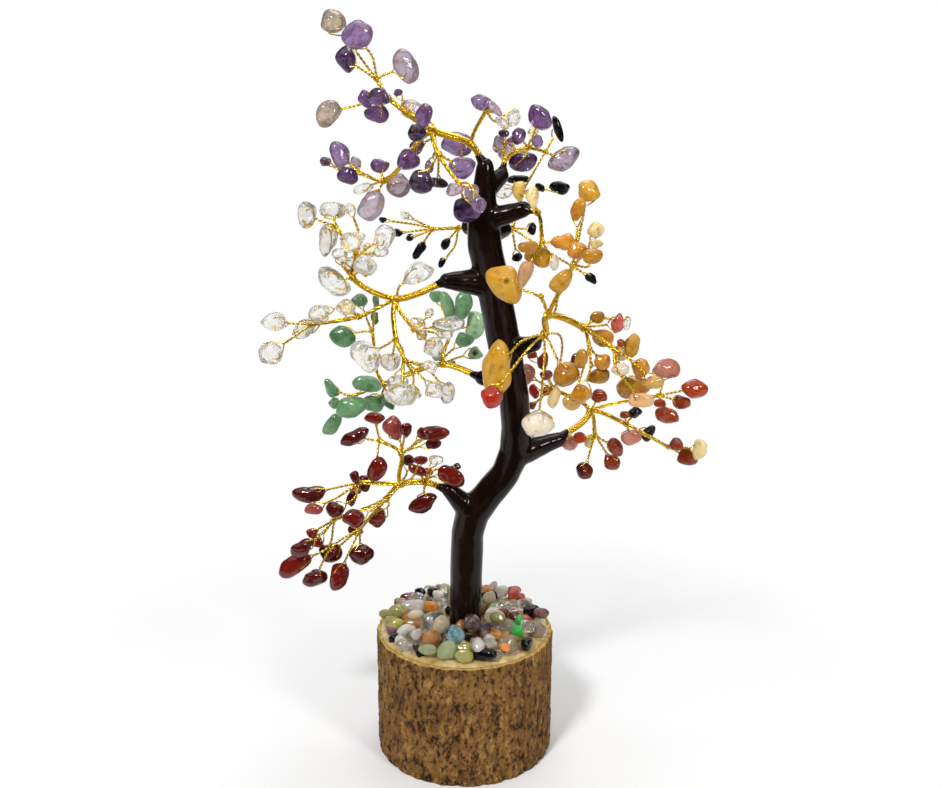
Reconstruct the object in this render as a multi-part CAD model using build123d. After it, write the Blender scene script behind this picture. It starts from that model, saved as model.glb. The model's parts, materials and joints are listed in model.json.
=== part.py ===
from build123d import *
import os
from itertools import combinations
from dataclasses import dataclass
from math import cos, pi, radians, sin, sqrt

import numpy as np

# A gemstone wire tree: a log base with loose stones glued on it, a moulded trunk with a stub for each branch,
# and ten branches of gold wire whose twigs carry drilled stone chips.
# Millimetres. Origin: centre of the log's underside. X: right, Y: away from the viewer, Z: up.

# Log base
BASE_DIAMETER = 60.0
BASE_HEIGHT = 42.0
BARK_THICKNESS = 2.6
BARK_FURROW = 1.1
TRUNK_HOLE_DEPTH = 18.0
GLUE_THICKNESS = 1.2
GLUE_RIM = 1.8

# Trunk
TRUNK_DIAMETER = 10.2
FOOT_DIAMETER = 8.6
STUB_MOUTH_DIAMETER = 4.8
CROWN_TOP_DIAMETER = 5.0

# Gold wire
ROOT_BALL_DIAMETER = 3.2
BUNDLE_DIAMETER = 2.2
ARM_DIAMETER = 1.6
KNOT_DIAMETER = 3.4
TWIG_DIAMETER = 0.85
MOUTH_SETBACK = 0.6

# Stones
CHIP_LENGTH = 8.4
CHIP_LEAST_WIDTH = 2.6
GRAVEL_LENGTH = 9.0
GRAVEL_PILE = 11.0
DRILL_OVERRUN = 0.3

# Clearances and steps
FIT_GAP = 0.1
SOCKET_GAP = 0.12
DRILL_GAP = 0.1
STONE_GAP = 0.35
WIRE_GAP = 0.12
KNOT_GAP = 0.03
DEPTH_STEP = 1.0
DROP_STEP = 0.15
REST_GAP = 0.05
CUT_OVERRUN = 1.0

# The picture that the crown's places are read from: a pixel and a depth give a place in space
VIEW_DISTANCE = 347.6
EYE_OVER_LOG = 174.9
EYE_ASIDE = 1.9
CROWN_REACH = 30.0
VIEW_TILT = 15.0
FOCAL_PIXELS = 1124.0
CENTRE_PIXEL = (470.0, 394.0)
CHIP_PIXELS = 25.0

# Proportions of a chip
CHIP_THICKNESS_SHARE = 0.8
CHIP_RING_SHARE = 0.44
CHIP_RING_RADIUS_SHARE = 0.97
CHIP_ROUGH_SHARE = 0.3
CHIP_POLE_SHARE = 0.24
CHIP_SLIDE_SHARE = 0.2
CHIP_HOLD_SHARE = 1.05
CHIP_RING_POINTS = 5
TWIG_BEND_SHARE = 0.45
TWIG_LEAD_SHARE = 1.5

# The search for a clear place: turns of a twig where it leaves its knot, and the cost of a turn and of a depth
EXIT_TURNS = (0.0, 18.0, 36.0, 54.0, 72.0, 90.0, 110.0)
EXIT_WAYS = 8
TURN_PER_COST = 30.0
DEPTH_PER_COST_SHARE = 0.14
STEEP_SHARE = 0.9
STUB_STEPS = 3

GOLDEN_ANGLE = pi * (3 - sqrt(5))

# Ribs of the bark: how many, and the corners of one as a share of its turn and of the furrow's depth
BARK_RIBS = 23
BARK_RIB_SHARES = ((0.0, 1.0), (0.22, 0.15), (0.5, 0.0), (0.8, 0.2))

# Trunk line: pixel across, pixel down, diameter as a share of the trunk's
TRUNK_PIXELS_AND_SHARES = (
    (465.5, 600, 1.00), (466.5, 560, 1.00), (467.5, 534, 1.00), (473, 512, 1.08), (489, 493, 0.92),
    (506, 473, 0.90), (515, 451, 0.95), (516, 428, 0.89), (514, 395, 0.90), (505, 350, 0.96),
    (499, 315, 0.98), (494, 288, 0.98), (485, 248, 1.00), (483, 225, 0.93), (483, 202, 0.77),
)
TRUNK_TOP_PIXEL = (485, 168)


@dataclass(frozen=True)
class Knot:
    """A place where a bundle of wires splits into twigs, each with one chip.

    A chip is a row of pixels: across, down, long, short, then its lean in degrees, and a stone if it isn't the
    branch's own.
    """

    name: str
    parent: str
    pixel: tuple
    depth_share: float
    chips: tuple
    window_shares: tuple


@dataclass(frozen=True)
class Branch:
    """A branch that starts at the mouth of a stub of the trunk."""

    name: str
    heel_pixel: tuple
    mouth_pixel: tuple
    mouth_depth_share: float
    heel_share: float
    knots: tuple


FRONT_SHARES = (-1.1, -0.27)
CROWN_SHARES = (-0.75, 0.3)
WEST_SHARES = (0.05, 0.8)
CREST_SHARES = (-0.75, -0.15)
EAST_SHARES = (0.1, 0.66)
BESIDE_SHARES = (-0.46, -0.1)
FOREMOST_SHARES = (-1.2, -0.7)
UPPER_LEFT_SHARES = (-1.0, -0.05)
LOW_LEFT_SHARES = (-0.42, 0.25)
BACK_SHARES = (0.3, 1.2)
SIDE_SHARES = (0.12, 1.05)
FAR_SHARES = (0.5, 1.35)
FARTHEST_SHARES = (0.8, 1.4)

BRANCHES = (
    Branch("amethyst", (483, 202), TRUNK_TOP_PIXEL, 0.0, 0.5, (
        Knot("neck", "", (471, 144), -0.05, ((457, 144, 30, 28, 0),), CROWN_SHARES),
        Knot("elbow", "neck", (434, 131), -0.1, (
            (417, 134, 18, 17, 0), (415, 147, 18, 14, 60), (408, 161, 23, 21, 0), (429, 167, 12, 9, 90),
        ), CROWN_SHARES),
        Knot("skirt", "elbow", (439, 155), -0.3, (
            (421, 181, 24, 22, 0), (438, 183, 20, 10, 0), (462, 167, 26, 21, 15),
        ), CROWN_SHARES),
        Knot("throat", "skirt", (459, 184), -0.45, (
            (455, 190, 16, 14, 0), (472, 192, 14, 14, 0), (466, 208, 26, 24, 0), (480, 204, 16, 14, 80),
        ), FRONT_SHARES),
        Knot("arm", "elbow", (405, 112), -0.1, (
            (412, 109, 20, 18, 0), (424, 115, 21, 17, 70), (398, 93, 8, 7, 0),
        ), CROWN_SHARES),
        Knot("wrist", "arm", (388, 97), -0.1, (
            (366, 99, 16, 13, -60), (380, 97, 22, 18, 0), (377, 115, 24, 18, 0), (327, 113, 27, 23, 70),
        ), CROWN_SHARES),
        Knot("tip", "wrist", (376, 78), -0.05, (
            (333, 21, 22, 22, 0), (356, 35, 28, 24, 20), (345, 59, 25, 21, 100), (405, 67, 31, 21, -60),
        ), CROWN_SHARES),
        Knot("crest", "neck", (486, 110), -0.1, (
            (481, 101, 21, 15, 0), (495, 109, 18, 8, -50), (513, 118, 16, 14, 60, "clear"),
            (503, 122, 16, 10, -45, "clear"),
        ), CREST_SHARES),
        Knot("west", "elbow", (383, 181), 0.3, (
            (399, 187, 26, 23, 0), (371, 205, 36, 22, 35), (364, 188, 21, 11, 10, "clear"),
            (380, 166, 17, 15, 0),
        ), WEST_SHARES),
        Knot("west_tip", "west", (360, 173), 0.3, (
            (348, 175, 20, 20, 0), (356, 165, 18, 12, 80), (339, 155, 25, 20, 110), (325, 161, 12, 11, 0),
        ), WEST_SHARES),
    )),
    Branch("lilac", (484, 195), (500, 177), 0.12, 0.5, (
        Knot("near", "", (506, 158), 0.2, (
            (499, 144, 18, 15, 80), (506, 154, 16, 16, 0), (504, 133, 10, 8, 0), (511, 142, 12, 10, 90),
        ), EAST_SHARES),
        Knot("mid", "near", (528, 148), 0.3, (
            (519, 136, 17, 14, 80), (538, 141, 12, 12, 0), (523, 162, 26, 24, 0), (540, 117, 29, 20, -50),
            (533, 131, 10, 10, 0, "clear"),
        ), EAST_SHARES),
        Knot("end", "mid", (546, 152), 0.3, ((564, 160, 33, 22, 25),), EAST_SHARES),
    )),
    Branch("quartz", (484, 282), (449, 281), -0.15, 0.9, (
        Knot("hub", "", (396, 299), -0.45, ((418, 272, 28, 21, 15),), UPPER_LEFT_SHARES),
        Knot("upper", "hub", (352, 277), -0.5, (
            (340, 256, 14, 14, 0), (351, 263, 18, 16, 0), (364, 267, 22, 20, 0), (333, 282, 36, 22, -40),
        ), UPPER_LEFT_SHARES),
        Knot("crest", "upper", (356, 256), -0.5, (
            (350, 208, 10, 9, 0), (352, 243, 23, 21, 0), (383, 237, 27, 18, 70), (380, 251, 14, 12, 0),
            (368, 251, 16, 15, 0),
        ), UPPER_LEFT_SHARES),
        Knot("top", "crest", (335, 226), -0.45, (
            (305, 215, 22, 18, 90), (333, 211, 22, 17, 0), (328, 239, 32, 18, 90),
        ), UPPER_LEFT_SHARES),
        Knot("west", "hub", (359, 317), -0.5, (
            (320, 313, 19, 18, 0), (346, 309, 17, 17, 0), (304, 328, 24, 17, 45),
        ), UPPER_LEFT_SHARES),
        Knot("tip", "west", (310, 325), -0.5, (
            (274, 322, 27, 21, 0), (270, 354, 23, 21, 0),
        ), UPPER_LEFT_SHARES),
        Knot("south", "hub", (396, 340), -0.6, (
            (367, 355, 30, 24, -45), (391, 363, 20, 18, 0), (397, 382, 20, 14, 0),
        ), FRONT_SHARES),
        Knot("east", "hub", (414, 330), -0.55, (
            (434, 347, 22, 20, 0), (450, 325, 31, 14, 0), (418, 323, 14, 12, 0), (430, 313, 9, 7, 0),
            (421, 335, 10, 10, 0), (446, 334, 16, 12, 0),
        ), FRONT_SHARES),
        Knot("drop", "south", (405, 361), -0.7, (
            (401, 396, 27, 22, 0), (413, 392, 16, 14, 0), (435, 390, 20, 19, 0), (448, 393, 24, 12, 90),
            (430, 366, 14, 12, 0),
        ), FRONT_SHARES),
    )),
    Branch("green", (508, 381), (484, 378), 0.17, 0.5, (
        Knot("hub", "", (443, 364), 0.45, (
            (475, 353, 14, 13, 0), (451, 364, 10, 9, 0), (437, 357, 10, 8, 0), (464, 340, 18, 16, 0),
        ), BACK_SHARES),
        Knot("north", "hub", (452, 330), 0.6, (
            (475, 325, 28, 18, 80), (463, 305, 26, 18, 90), (447, 305, 26, 12, -70), (436, 296, 13, 12, 0),
        ), BACK_SHARES),
        Knot("mid", "hub", (384, 384), 0.6, (
            (367, 384, 29, 18, 0), (374, 403, 24, 22, 0), (389, 400, 18, 14, -60),
        ), BACK_SHARES),
        Knot("west", "mid", (350, 397), 0.6, (
            (353, 408, 34, 20, 0), (331, 388, 22, 12, -70), (332, 425, 24, 15, 50), (335, 404, 12, 12, 0),
        ), BACK_SHARES),
        Knot("high", "mid", (372, 330), 0.65, (
            (359, 300, 15, 13, 0), (376, 301, 12, 7, 90), (375, 318, 12, 7, 90), (342, 335, 23, 22, 0),
        ), BACK_SHARES),
    )),
    Branch("red", (468, 508), (450, 491), -0.05, 0.8, (
        Knot("cuff", "", (425, 482), -0.05, (
            (452, 476, 26, 18, -35), (455, 468, 10, 10, 0), (423, 503, 28, 14, 25), (428, 472, 10, 8, 0),
            (436, 460, 16, 10, 0, "clear"), (417, 470, 18, 10, -15),
        ), LOW_LEFT_SHARES),
        Knot("wrist", "cuff", (401, 484), -0.05, (
            (409, 461, 12, 10, 0), (421, 460, 14, 7, 10),
        ), LOW_LEFT_SHARES),
        Knot("upper", "wrist", (401, 453), -0.1, (
            (393, 428, 22, 18, 90), (406, 430, 13, 10, 90), (435, 432, 25, 15, 0), (433, 444, 14, 10, 0),
            (423, 433, 13, 10, 90),
        ), LOW_LEFT_SHARES),
        Knot("loop", "upper", (379, 440), -0.1, (
            (375, 418, 18, 11, 0), (355, 438, 26, 15, 25), (376, 470, 24, 18, 70),
        ), LOW_LEFT_SHARES),
        Knot("side", "wrist", (358, 482), -0.1, (
            (355, 477, 14, 10, 90), (365, 483, 18, 12, 80), (356, 488, 14, 11, 80), (352, 499, 14, 10, 80),
            (310, 494, 30, 16, 0), (314, 509, 16, 12, 0), (335, 510, 16, 16, 0),
        ), LOW_LEFT_SHARES),
        Knot("fan", "wrist", (386, 499), -0.05, (
            (354, 518, 20, 20, 0), (379, 518, 20, 16, 60),
        ), LOW_LEFT_SHARES),
        Knot("low_left", "fan", (333, 520), -0.05, (
            (312, 533, 11, 9, 0), (317, 542, 14, 12, 0), (303, 549, 22, 16, 30), (293, 565, 34, 20, 20),
        ), LOW_LEFT_SHARES),
        Knot("low", "fan", (359, 530), 0.0, (
            (355, 530, 14, 12, 0), (331, 553, 20, 20, 0), (361, 554, 22, 22, 0), (315, 579, 24, 18, 10),
            (338, 576, 25, 18, 80),
        ), LOW_LEFT_SHARES),
    )),
    Branch("upper_yellow", (486, 220), (521, 210), -0.1, 0.68, (
        Knot("peak", "", (538, 213), -0.24, (
            (519, 190, 20, 12, 90, "cream"), (533, 198, 21, 12, 80, "cream"),
        ), BESIDE_SHARES),
        Knot("high", "peak", (542, 243), -0.27, (
            (563, 241, 20, 17, 0), (537, 258, 22, 21, 0), (528, 247, 18, 12, 0), (524, 274, 29, 14, 75),
            (555, 263, 13, 10, 90, "cream"),
        ), BESIDE_SHARES),
    )),
    Branch("lower_yellow", (507, 349), (533, 344), -0.17, 0.68, (
        Knot("collar", "", (545, 333), -0.32, (
            (497, 369, 55, 26, 90), (565, 376, 25, 23, 0), (538, 423, 29, 28, 0, "cream"),
            (554, 398, 20, 13, 70, "cream"), (492, 397, 22, 20, 0, "red"),
        ), FRONT_SHARES),
        Knot("bend", "collar", (548, 315), -0.6, ((560, 280, 24, 16, 60),), FOREMOST_SHARES),
        Knot("knee", "bend", (541, 296), -0.75, ((504, 284, 38, 27, -60),), FOREMOST_SHARES),
        Knot("outer", "bend", (574, 264), -0.8, (
            (588, 190, 20, 18, 0), (578, 209, 18, 13, 70), (596, 231, 16, 14, 0, "cream"),
            (596, 243, 12, 10, 0, "cream"), (577, 251, 15, 14, 0), (592, 256, 16, 13, 0),
        ), FOREMOST_SHARES),
        Knot("arm", "bend", (584, 328), -0.45, (
            (598, 317, 14, 12, 0), (603, 339, 22, 18, 0), (617, 323, 19, 14, 80, "red"),
            (627, 323, 14, 8, 90, "clear"),
        ), FRONT_SHARES),
        Knot("skirt", "arm", (590, 350), -0.5, (
            (582, 359, 19, 12, 80), (603, 361, 16, 15, 0), (599, 377, 21, 15, 0), (572, 402, 16, 14, 0),
            (581, 394, 20, 18, 0),
        ), FRONT_SHARES),
        Knot("fringe", "arm", (615, 350), -0.5, (
            (621, 370, 19, 14, 0, "cream"), (621, 354, 15, 14, 0, "cream"), (633, 345, 21, 14, 80),
            (621, 343, 8, 5, 0, "red"), (640, 367, 18, 18, 0), (634, 388, 32, 22, 15), (654, 382, 20, 12, 0),
            (642, 400, 28, 14, 0, "cream"),
        ), FRONT_SHARES),
    )),
    Branch("carnelian", (520, 453), (557, 440), 0.13, 0.8, (
        Knot("hub", "", (590, 411), 0.35, ((599, 396, 16, 14, 0),), SIDE_SHARES),
        Knot("low", "hub", (595, 436), 0.4, (
            (570, 444, 17, 16, 0), (580, 437, 14, 12, 0), (590, 441, 17, 11, 80, "cream"),
            (615, 447, 20, 14, -60), (612, 461, 20, 16, 0), (584, 472, 17, 17, 0),
        ), SIDE_SHARES),
        Knot("mid", "hub", (626, 424), 0.4, (
            (631, 436, 20, 17, 0), (648, 433, 19, 14, 80, "black"), (635, 413, 14, 13, 0, "black"),
            (625, 414, 10, 8, 0),
        ), SIDE_SHARES),
        Knot("tip", "mid", (668, 447), 0.4, (
            (688, 457, 22, 18, 0), (700, 449, 24, 14, 80, "cream"), (677, 444, 14, 14, 0),
        ), SIDE_SHARES),
        Knot("top", "hub", (660, 395), 0.45, (
            (666, 370, 28, 20, 0), (696, 388, 24, 22, 0), (681, 402, 18, 16, 0), (667, 416, 28, 16, -30),
            (660, 403, 12, 8, 0),
        ), SIDE_SHARES),
        Knot("near", "hub", (552, 388), 0.45, (
            (526, 375, 24, 18, 45), (534, 391, 16, 10, 90), (546, 391, 10, 10, 0), (532, 406, 10, 8, 0),
            (542, 360, 18, 10, 80), (532, 355, 10, 10, 0), (546, 375, 12, 10, 0), (574, 361, 18, 8, 80),
        ), SIDE_SHARES),
    )),
    Branch("left_black", (484, 232), (470, 227), 0.23, 0.6, (
        Knot("near", "", (458, 228), 0.6, ((446, 243, 14, 9, 70), (442, 263, 10, 6, 60)), FAR_SHARES),
        Knot("hub", "near", (432, 229), 0.7, (
            (405, 215, 12, 8, 0, "clear"), (397, 233, 12, 9, -20), (383, 220, 8, 6, 0), (419, 250, 19, 11, 55),
            (410, 238, 8, 5, 0),
        ), FAR_SHARES),
    )),
    Branch("right_black", (485, 236), (503, 230), 0.23, 0.6, (
        Knot("hub", "", (512, 228), 0.6, (
            (532, 229, 14, 7, 80), (517, 258, 10, 9, 0), (592, 278, 14, 10, -45),
        ), FAR_SHARES),
        Knot("high", "hub", (522, 192), 0.95, (
            (558, 130, 30, 9, -70), (560, 188, 20, 15, 0), (540, 187, 12, 8, -35), (518, 180, 22, 9, 0),
            (504, 191, 18, 16, 0, "clear"),
        ), FARTHEST_SHARES),
    )),
)

# Loose stones that show on the log: pixel across and down, long and short in pixels, lean in degrees
GRAVEL_PIXELS = {
    "clear": (
        (438, 597, 22, 16, 0), (445, 614, 17, 16, 0), (415, 637, 18, 15, 0), (400, 645, 18, 12, 0),
        (467, 625, 18, 17, 0), (503, 591, 18, 12, 0), (507, 624, 22, 14, 0), (514, 647, 18, 18, 0),
        (501, 602, 13, 12, 0),
    ),
    "milky": (
        (413, 607, 32, 17, 0), (433, 636, 18, 12, 0), (514, 660, 10, 8, 0), (447, 649, 18, 16, 0),
        (537, 627, 17, 16, 0),
    ),
    "amber": (
        (414, 623, 26, 13, 0), (434, 645, 10, 8, 0), (485, 588, 14, 12, 0), (496, 635, 13, 10, 0),
        (502, 653, 19, 13, 80), (530, 600, 10, 8, 0), (486, 608, 12, 10, 0), (483, 646, 14, 9, 0),
    ),
    "garnet": (
        (409, 596, 20, 9, 0), (433, 613, 16, 8, 90), (437, 624, 10, 8, 0), (518, 591, 16, 9, 0),
        (525, 617, 9, 8, 0), (489, 616, 12, 5, 0), (391, 631, 10, 6, 0), (483, 626, 14, 13, 0),
    ),
    "black": (
        (491, 600, 13, 12, 0), (532, 612, 18, 14, 0), (530, 643, 18, 12, 80), (488, 659, 22, 12, -15),
        (470, 638, 12, 6, 0),
    ),
    "olive": ((465, 648, 20, 12, 0), (463, 662, 17, 13, 0), (517, 637, 14, 6, 0), (392, 621, 14, 13, 0)),
    "moss": ((384, 613, 22, 11, 0), (429, 652, 18, 10, 0), (520, 626, 14, 10, 90), (520, 599, 13, 9, 0)),
    "blue": ((455, 634, 17, 15, 0),),
}
GRAVEL_FILL_ORDER = (
    "clear", "garnet", "milky", "black", "amber", "clear", "olive", "moss", "amber", "clear", "milky",
)
GRAVEL_FILL_COUNT = 170
GRAVEL_FILL_SHARES = (0.62, 0.8, 0.7, 0.95, 0.58)
GRAVEL_FLATNESS_SHARE = 0.72
GRAVEL_SLOPE_SHARE = 0.5

# Worked out
CORE_DIAMETER = BASE_DIAMETER - 2 * BARK_THICKNESS
BED_TOP = BASE_HEIGHT + GLUE_THICKNESS
BED_RADIUS = BASE_DIAMETER / 2 - GLUE_RIM
HOLE_DIAMETER = FOOT_DIAMETER + 2 * FIT_GAP
KNOT_RADIUS = KNOT_DIAMETER / 2
TWIG_RADIUS = TWIG_DIAMETER / 2
CUP_RADIUS = ROOT_BALL_DIAMETER / 2 + SOCKET_GAP
EYE = np.array((EYE_ASIDE, -VIEW_DISTANCE, BASE_HEIGHT + EYE_OVER_LOG))
TILT = radians(VIEW_TILT)
UP = np.array((0, 0, 1))
BACK = np.array((0, 1, 0))
ACROSS = np.array((1, 0, 0))


def unit(vector):
    """Returns a vector of length one along `vector`."""
    return vector / np.linalg.norm(vector)


def view_ray(pixel):
    """Returns the direction from the eye through a pixel, with a Y of one."""
    across = (pixel[0] - CENTRE_PIXEL[0]) / FOCAL_PIXELS
    above = (CENTRE_PIXEL[1] - pixel[1]) / FOCAL_PIXELS
    ahead = cos(TILT) + above * sin(TILT)
    return np.array((across / ahead, 1, (above * cos(TILT) - sin(TILT)) / ahead))


def place(pixel, depth=0):
    """Returns the point at a pixel that lies `depth` behind the trunk."""
    return EYE + view_ray(pixel) * (VIEW_DISTANCE + depth)


def place_at_height(pixel, height):
    """Returns the point at a pixel that lies at a height above the floor."""
    ray = view_ray(pixel)
    return EYE + ray * ((height - EYE[2]) / ray[2])


class Space:
    """Keeps the capsules taken so far, and measures how clear another one is of them."""

    def __init__(self):
        self.starts = []
        self.ends = []
        self.radii = []
        self.gaps = []

    def take(self, start, end, radius, gap):
        """Adds a capsule and the gap to leave around it, and returns its number."""
        self.starts.append(start)
        self.ends.append(end)
        self.radii.append(radius)
        self.gaps.append(gap)
        return len(self.gaps) - 1

    def seal(self):
        """Packs the lists into arrays for `room`."""
        lists = (self.starts, self.ends, self.radii, self.gaps)
        self.table = tuple(np.array(rows, dtype=float) for rows in lists)

    def room(self, start, end, radius, gap, skipped=None):
        """Returns the least distance left over between a capsule and those taken, past the wider gap."""
        starts, ends, radii, gaps = self.table
        along = end - start
        others = ends - starts
        between = start - starts
        length = max(along @ along, np.finfo(float).tiny)
        lengths = np.maximum(np.einsum("ij,ij->i", others, others), np.finfo(float).tiny)
        cross = others @ along
        onto = between @ along
        ontos = np.einsum("ij,ij->i", others, between)
        spread = length * lengths - cross * cross
        first = np.where(spread > 0, (cross * ontos - onto * lengths) / np.where(spread > 0, spread, 1), 0)
        first = np.clip(first, 0, 1)
        second = np.clip((cross * first + ontos) / lengths, 0, 1)
        first = np.clip((cross * second - onto) / length, 0, 1)
        apart = between + first[:, None] * along - second[:, None] * others
        distance = np.sqrt(np.einsum("ij,ij->i", apart, apart))
        left = distance - radii - radius - np.maximum(gaps, gap)
        if skipped is not None:
            left[skipped] = np.inf
        return float(np.min(left))


class Chip:
    """A drilled chip: its place, its axes and its sizes."""

    def __init__(self, centre, length, width, long_axis, flat_axis, seed):
        self.centre = centre
        self.length = length
        self.width = width
        self.long_axis = long_axis
        self.flat_axis = flat_axis
        self.seed = seed

    def capsule(self):
        """Returns the capsule that holds the chip: two ends and a radius."""
        reach = self.long_axis * (self.length - self.width) / 2
        return self.centre - reach, self.centre + reach, self.width / 2 * CHIP_HOLD_SHARE

    def points(self):
        """Returns the corners of the chip: a pole and a ring at each end."""
        wide_axis = np.cross(self.flat_axis, self.long_axis)
        points = []
        for end in (-1, 1):
            lean = (self.seed + end / 4) * GOLDEN_ANGLE
            aside = wide_axis * cos(lean) + self.flat_axis * sin(lean) * CHIP_THICKNESS_SHARE
            pole = self.long_axis * end * self.length / 2 + aside * self.width / 2 * CHIP_POLE_SHARE
            points.append(self.centre + pole)
            for step in range(CHIP_RING_POINTS):
                turn = 2 * pi * (step + end / 4) / CHIP_RING_POINTS
                wave = (1 + sin(self.seed * GOLDEN_ANGLE + step * end * GOLDEN_ANGLE / 2)) / 2
                radius = self.width / 2 * CHIP_RING_RADIUS_SHARE * (1 - CHIP_ROUGH_SHARE * wave)
                slide = CHIP_RING_SHARE * (1 - CHIP_SLIDE_SHARE * sin(self.seed + step * end * GOLDEN_ANGLE))
                points.append(
                    self.centre
                    + self.long_axis * end * self.length / 2 * slide
                    + wide_axis * radius * cos(turn)
                    + self.flat_axis * radius * sin(turn) * CHIP_THICKNESS_SHARE
                )
        return np.array(points)

    def solid(self):
        """Returns the chip as a rough convex stone."""
        return ConvexPolyhedron([tuple(point) for point in self.points()])


class Twig:
    """A twig of two twisted wires from a knot's surface to the middle of its chip."""

    def __init__(self, knot_place, exit_way, chip):
        reach = np.linalg.norm(chip.centre - knot_place)
        self.start = knot_place + exit_way * (KNOT_RADIUS + KNOT_GAP)
        self.bend = knot_place + exit_way * max(reach * TWIG_BEND_SHARE, KNOT_RADIUS * TWIG_LEAD_SHARE)
        self.end = chip.centre
        self.run = unit(self.end - self.bend)

    def runs(self):
        """Returns the two straight runs of the twig."""
        return (self.start, self.bend), (self.bend, self.end)

    def solid(self):
        """Returns the twig as a bent rod."""
        path = Polyline(tuple(self.start), tuple(self.bend), tuple(self.end))
        section = Plane(origin=tuple(self.start), z_dir=tuple(self.bend - self.start)) * Circle(TWIG_RADIUS)
        return sweep(section, path=path, transition=Transition.RIGHT)

    def drill(self, chip):
        """Returns the blind hole that the twig needs in its chip."""
        floor = self.end + self.run * DRILL_OVERRUN
        plane = Plane(origin=tuple(floor), z_dir=tuple(-self.run))
        return Solid.make_cylinder(TWIG_RADIUS + DRILL_GAP, chip.length + DRILL_OVERRUN, plane)


def rod(start, end, start_diameter, end_diameter=None):
    """Returns a round rod between two points, straight or tapered."""
    plane = Plane(origin=tuple(start), z_dir=tuple(end - start))
    length = float(np.linalg.norm(end - start))
    if end_diameter is None:
        return Solid.make_cylinder(start_diameter / 2, length, plane)
    return Solid.make_cone(start_diameter / 2, end_diameter / 2, length, plane)


def ball(centre, radius, way=UP):
    """Returns a ball whose poles lie along `way`."""
    return Solid.make_sphere(radius, Plane(origin=tuple(centre), z_dir=tuple(way)), angle1=-90, angle2=90)


def bead(centre, radius):
    """Returns a knot as a bead of twenty flat faces."""
    points = []
    for end in (-1, 1):
        points.append(tuple(centre + UP * end * radius))
        for step in range(CHIP_RING_POINTS):
            turn = 2 * pi * (step + end / 4) / CHIP_RING_POINTS
            ring = np.array((cos(turn), sin(turn), end / 2)) / sqrt(5 / 4)
            points.append(tuple(centre + ring * radius))
    return ConvexPolyhedron(points)


def joined(pieces):
    """Returns the pieces fused into one, one after the other."""
    whole = pieces[0]
    for piece in pieces[1:]:
        whole = whole + piece
    return whole


def trunk_line():
    """Returns the points and diameters of the trunk from the log to its top."""
    points = [place((TRUNK_PIXELS_AND_SHARES[0][0], TRUNK_PIXELS_AND_SHARES[0][1]))]
    points[0] = np.array((points[0][0], 0, BASE_HEIGHT))
    diameters = [TRUNK_DIAMETER]
    for across, down, share in TRUNK_PIXELS_AND_SHARES:
        points.append(place((across, down)))
        diameters.append(TRUNK_DIAMETER * share)
    points.append(place(TRUNK_TOP_PIXEL))
    diameters.append(CROWN_TOP_DIAMETER)
    return points, diameters


def branch_root(branch):
    """Returns where a branch's root ball turns, just outside its stub's mouth, and the stub's direction."""
    heel = place(branch.heel_pixel)
    mouth = place(branch.mouth_pixel, branch.mouth_depth_share * CROWN_REACH)
    way = unit(mouth - heel)
    return mouth + way * MOUTH_SETBACK, way


def bark_outline():
    """Returns the corners of the ribbed outline of the bark, each rib as deep as its own share of the furrow."""
    corners = []
    for rib in range(BARK_RIBS):
        wave = (3 + sin(rib * GOLDEN_ANGLE)) / 4
        for turn_share, depth_share in BARK_RIB_SHARES:
            turn = 2 * pi * (rib + turn_share) / BARK_RIBS
            radius = BASE_DIAMETER / 2 - BARK_FURROW * depth_share * wave
            corners.append((radius * cos(turn), radius * sin(turn)))
    return corners


def make_log():
    """Returns the log's wood core, with the hole for the trunk's foot, and the ribbed bark around it."""
    foot = trunk_line()[0][0]
    hole_floor = BASE_HEIGHT - TRUNK_HOLE_DEPTH - FIT_GAP
    core = Solid.make_cylinder(CORE_DIAMETER / 2, BASE_HEIGHT)
    hole = Solid.make_cylinder(HOLE_DIAMETER / 2, TRUNK_HOLE_DEPTH + CUT_OVERRUN)
    core -= Pos(foot[0], foot[1], hole_floor) * hole
    bark = extrude(make_face(Polyline(*bark_outline(), close=True)), BASE_HEIGHT)
    bark -= Pos(0, 0, -CUT_OVERRUN) * Solid.make_cylinder(CORE_DIAMETER / 2, BASE_HEIGHT + 2 * CUT_OVERRUN)
    return core, bark


def make_glue_bed():
    """Returns the disc of clear glue on the log, with a hole around the trunk."""
    foot = trunk_line()[0][0]
    bed = Pos(0, 0, BASE_HEIGHT) * Solid.make_cylinder(BED_RADIUS, GLUE_THICKNESS)
    hole = Solid.make_cylinder(TRUNK_DIAMETER / 2 + FIT_GAP, GLUE_THICKNESS + 2 * CUT_OVERRUN)
    return bed - Pos(foot[0], foot[1], BASE_HEIGHT - CUT_OVERRUN) * hole


def make_trunk():
    """Returns the trunk with its foot, its stubs and a cup in the mouth of each."""
    points, diameters = trunk_line()
    sections = []
    for index, (point, diameter) in enumerate(zip(points, diameters)):
        before = points[max(index - 1, 0)]
        after = points[min(index + 1, len(points) - 1)]
        way = UP if index == 0 else unit(after - before)
        plane = Plane(origin=tuple(point), x_dir=(0, 1, 0), z_dir=tuple(way))
        sections.append(plane * Circle(diameter / 2))
    foot = Pos(points[0][0], points[0][1], BASE_HEIGHT - TRUNK_HOLE_DEPTH)
    pieces = [loft(sections, ruled=True), foot * Solid.make_cylinder(FOOT_DIAMETER / 2, TRUNK_HOLE_DEPTH)]
    for branch in BRANCHES:
        root, way = branch_root(branch)
        cup = ball(root, CUP_RADIUS, way)
        if branch.mouth_pixel == TRUNK_TOP_PIXEL:
            pieces[0] = pieces[0] - cup
            continue
        heel_diameter = TRUNK_DIAMETER * branch.heel_share
        mouth = root - way * MOUTH_SETBACK
        pieces.append(rod(place(branch.heel_pixel), mouth, heel_diameter, STUB_MOUTH_DIAMETER) - cup)
    return joined(pieces)


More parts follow.
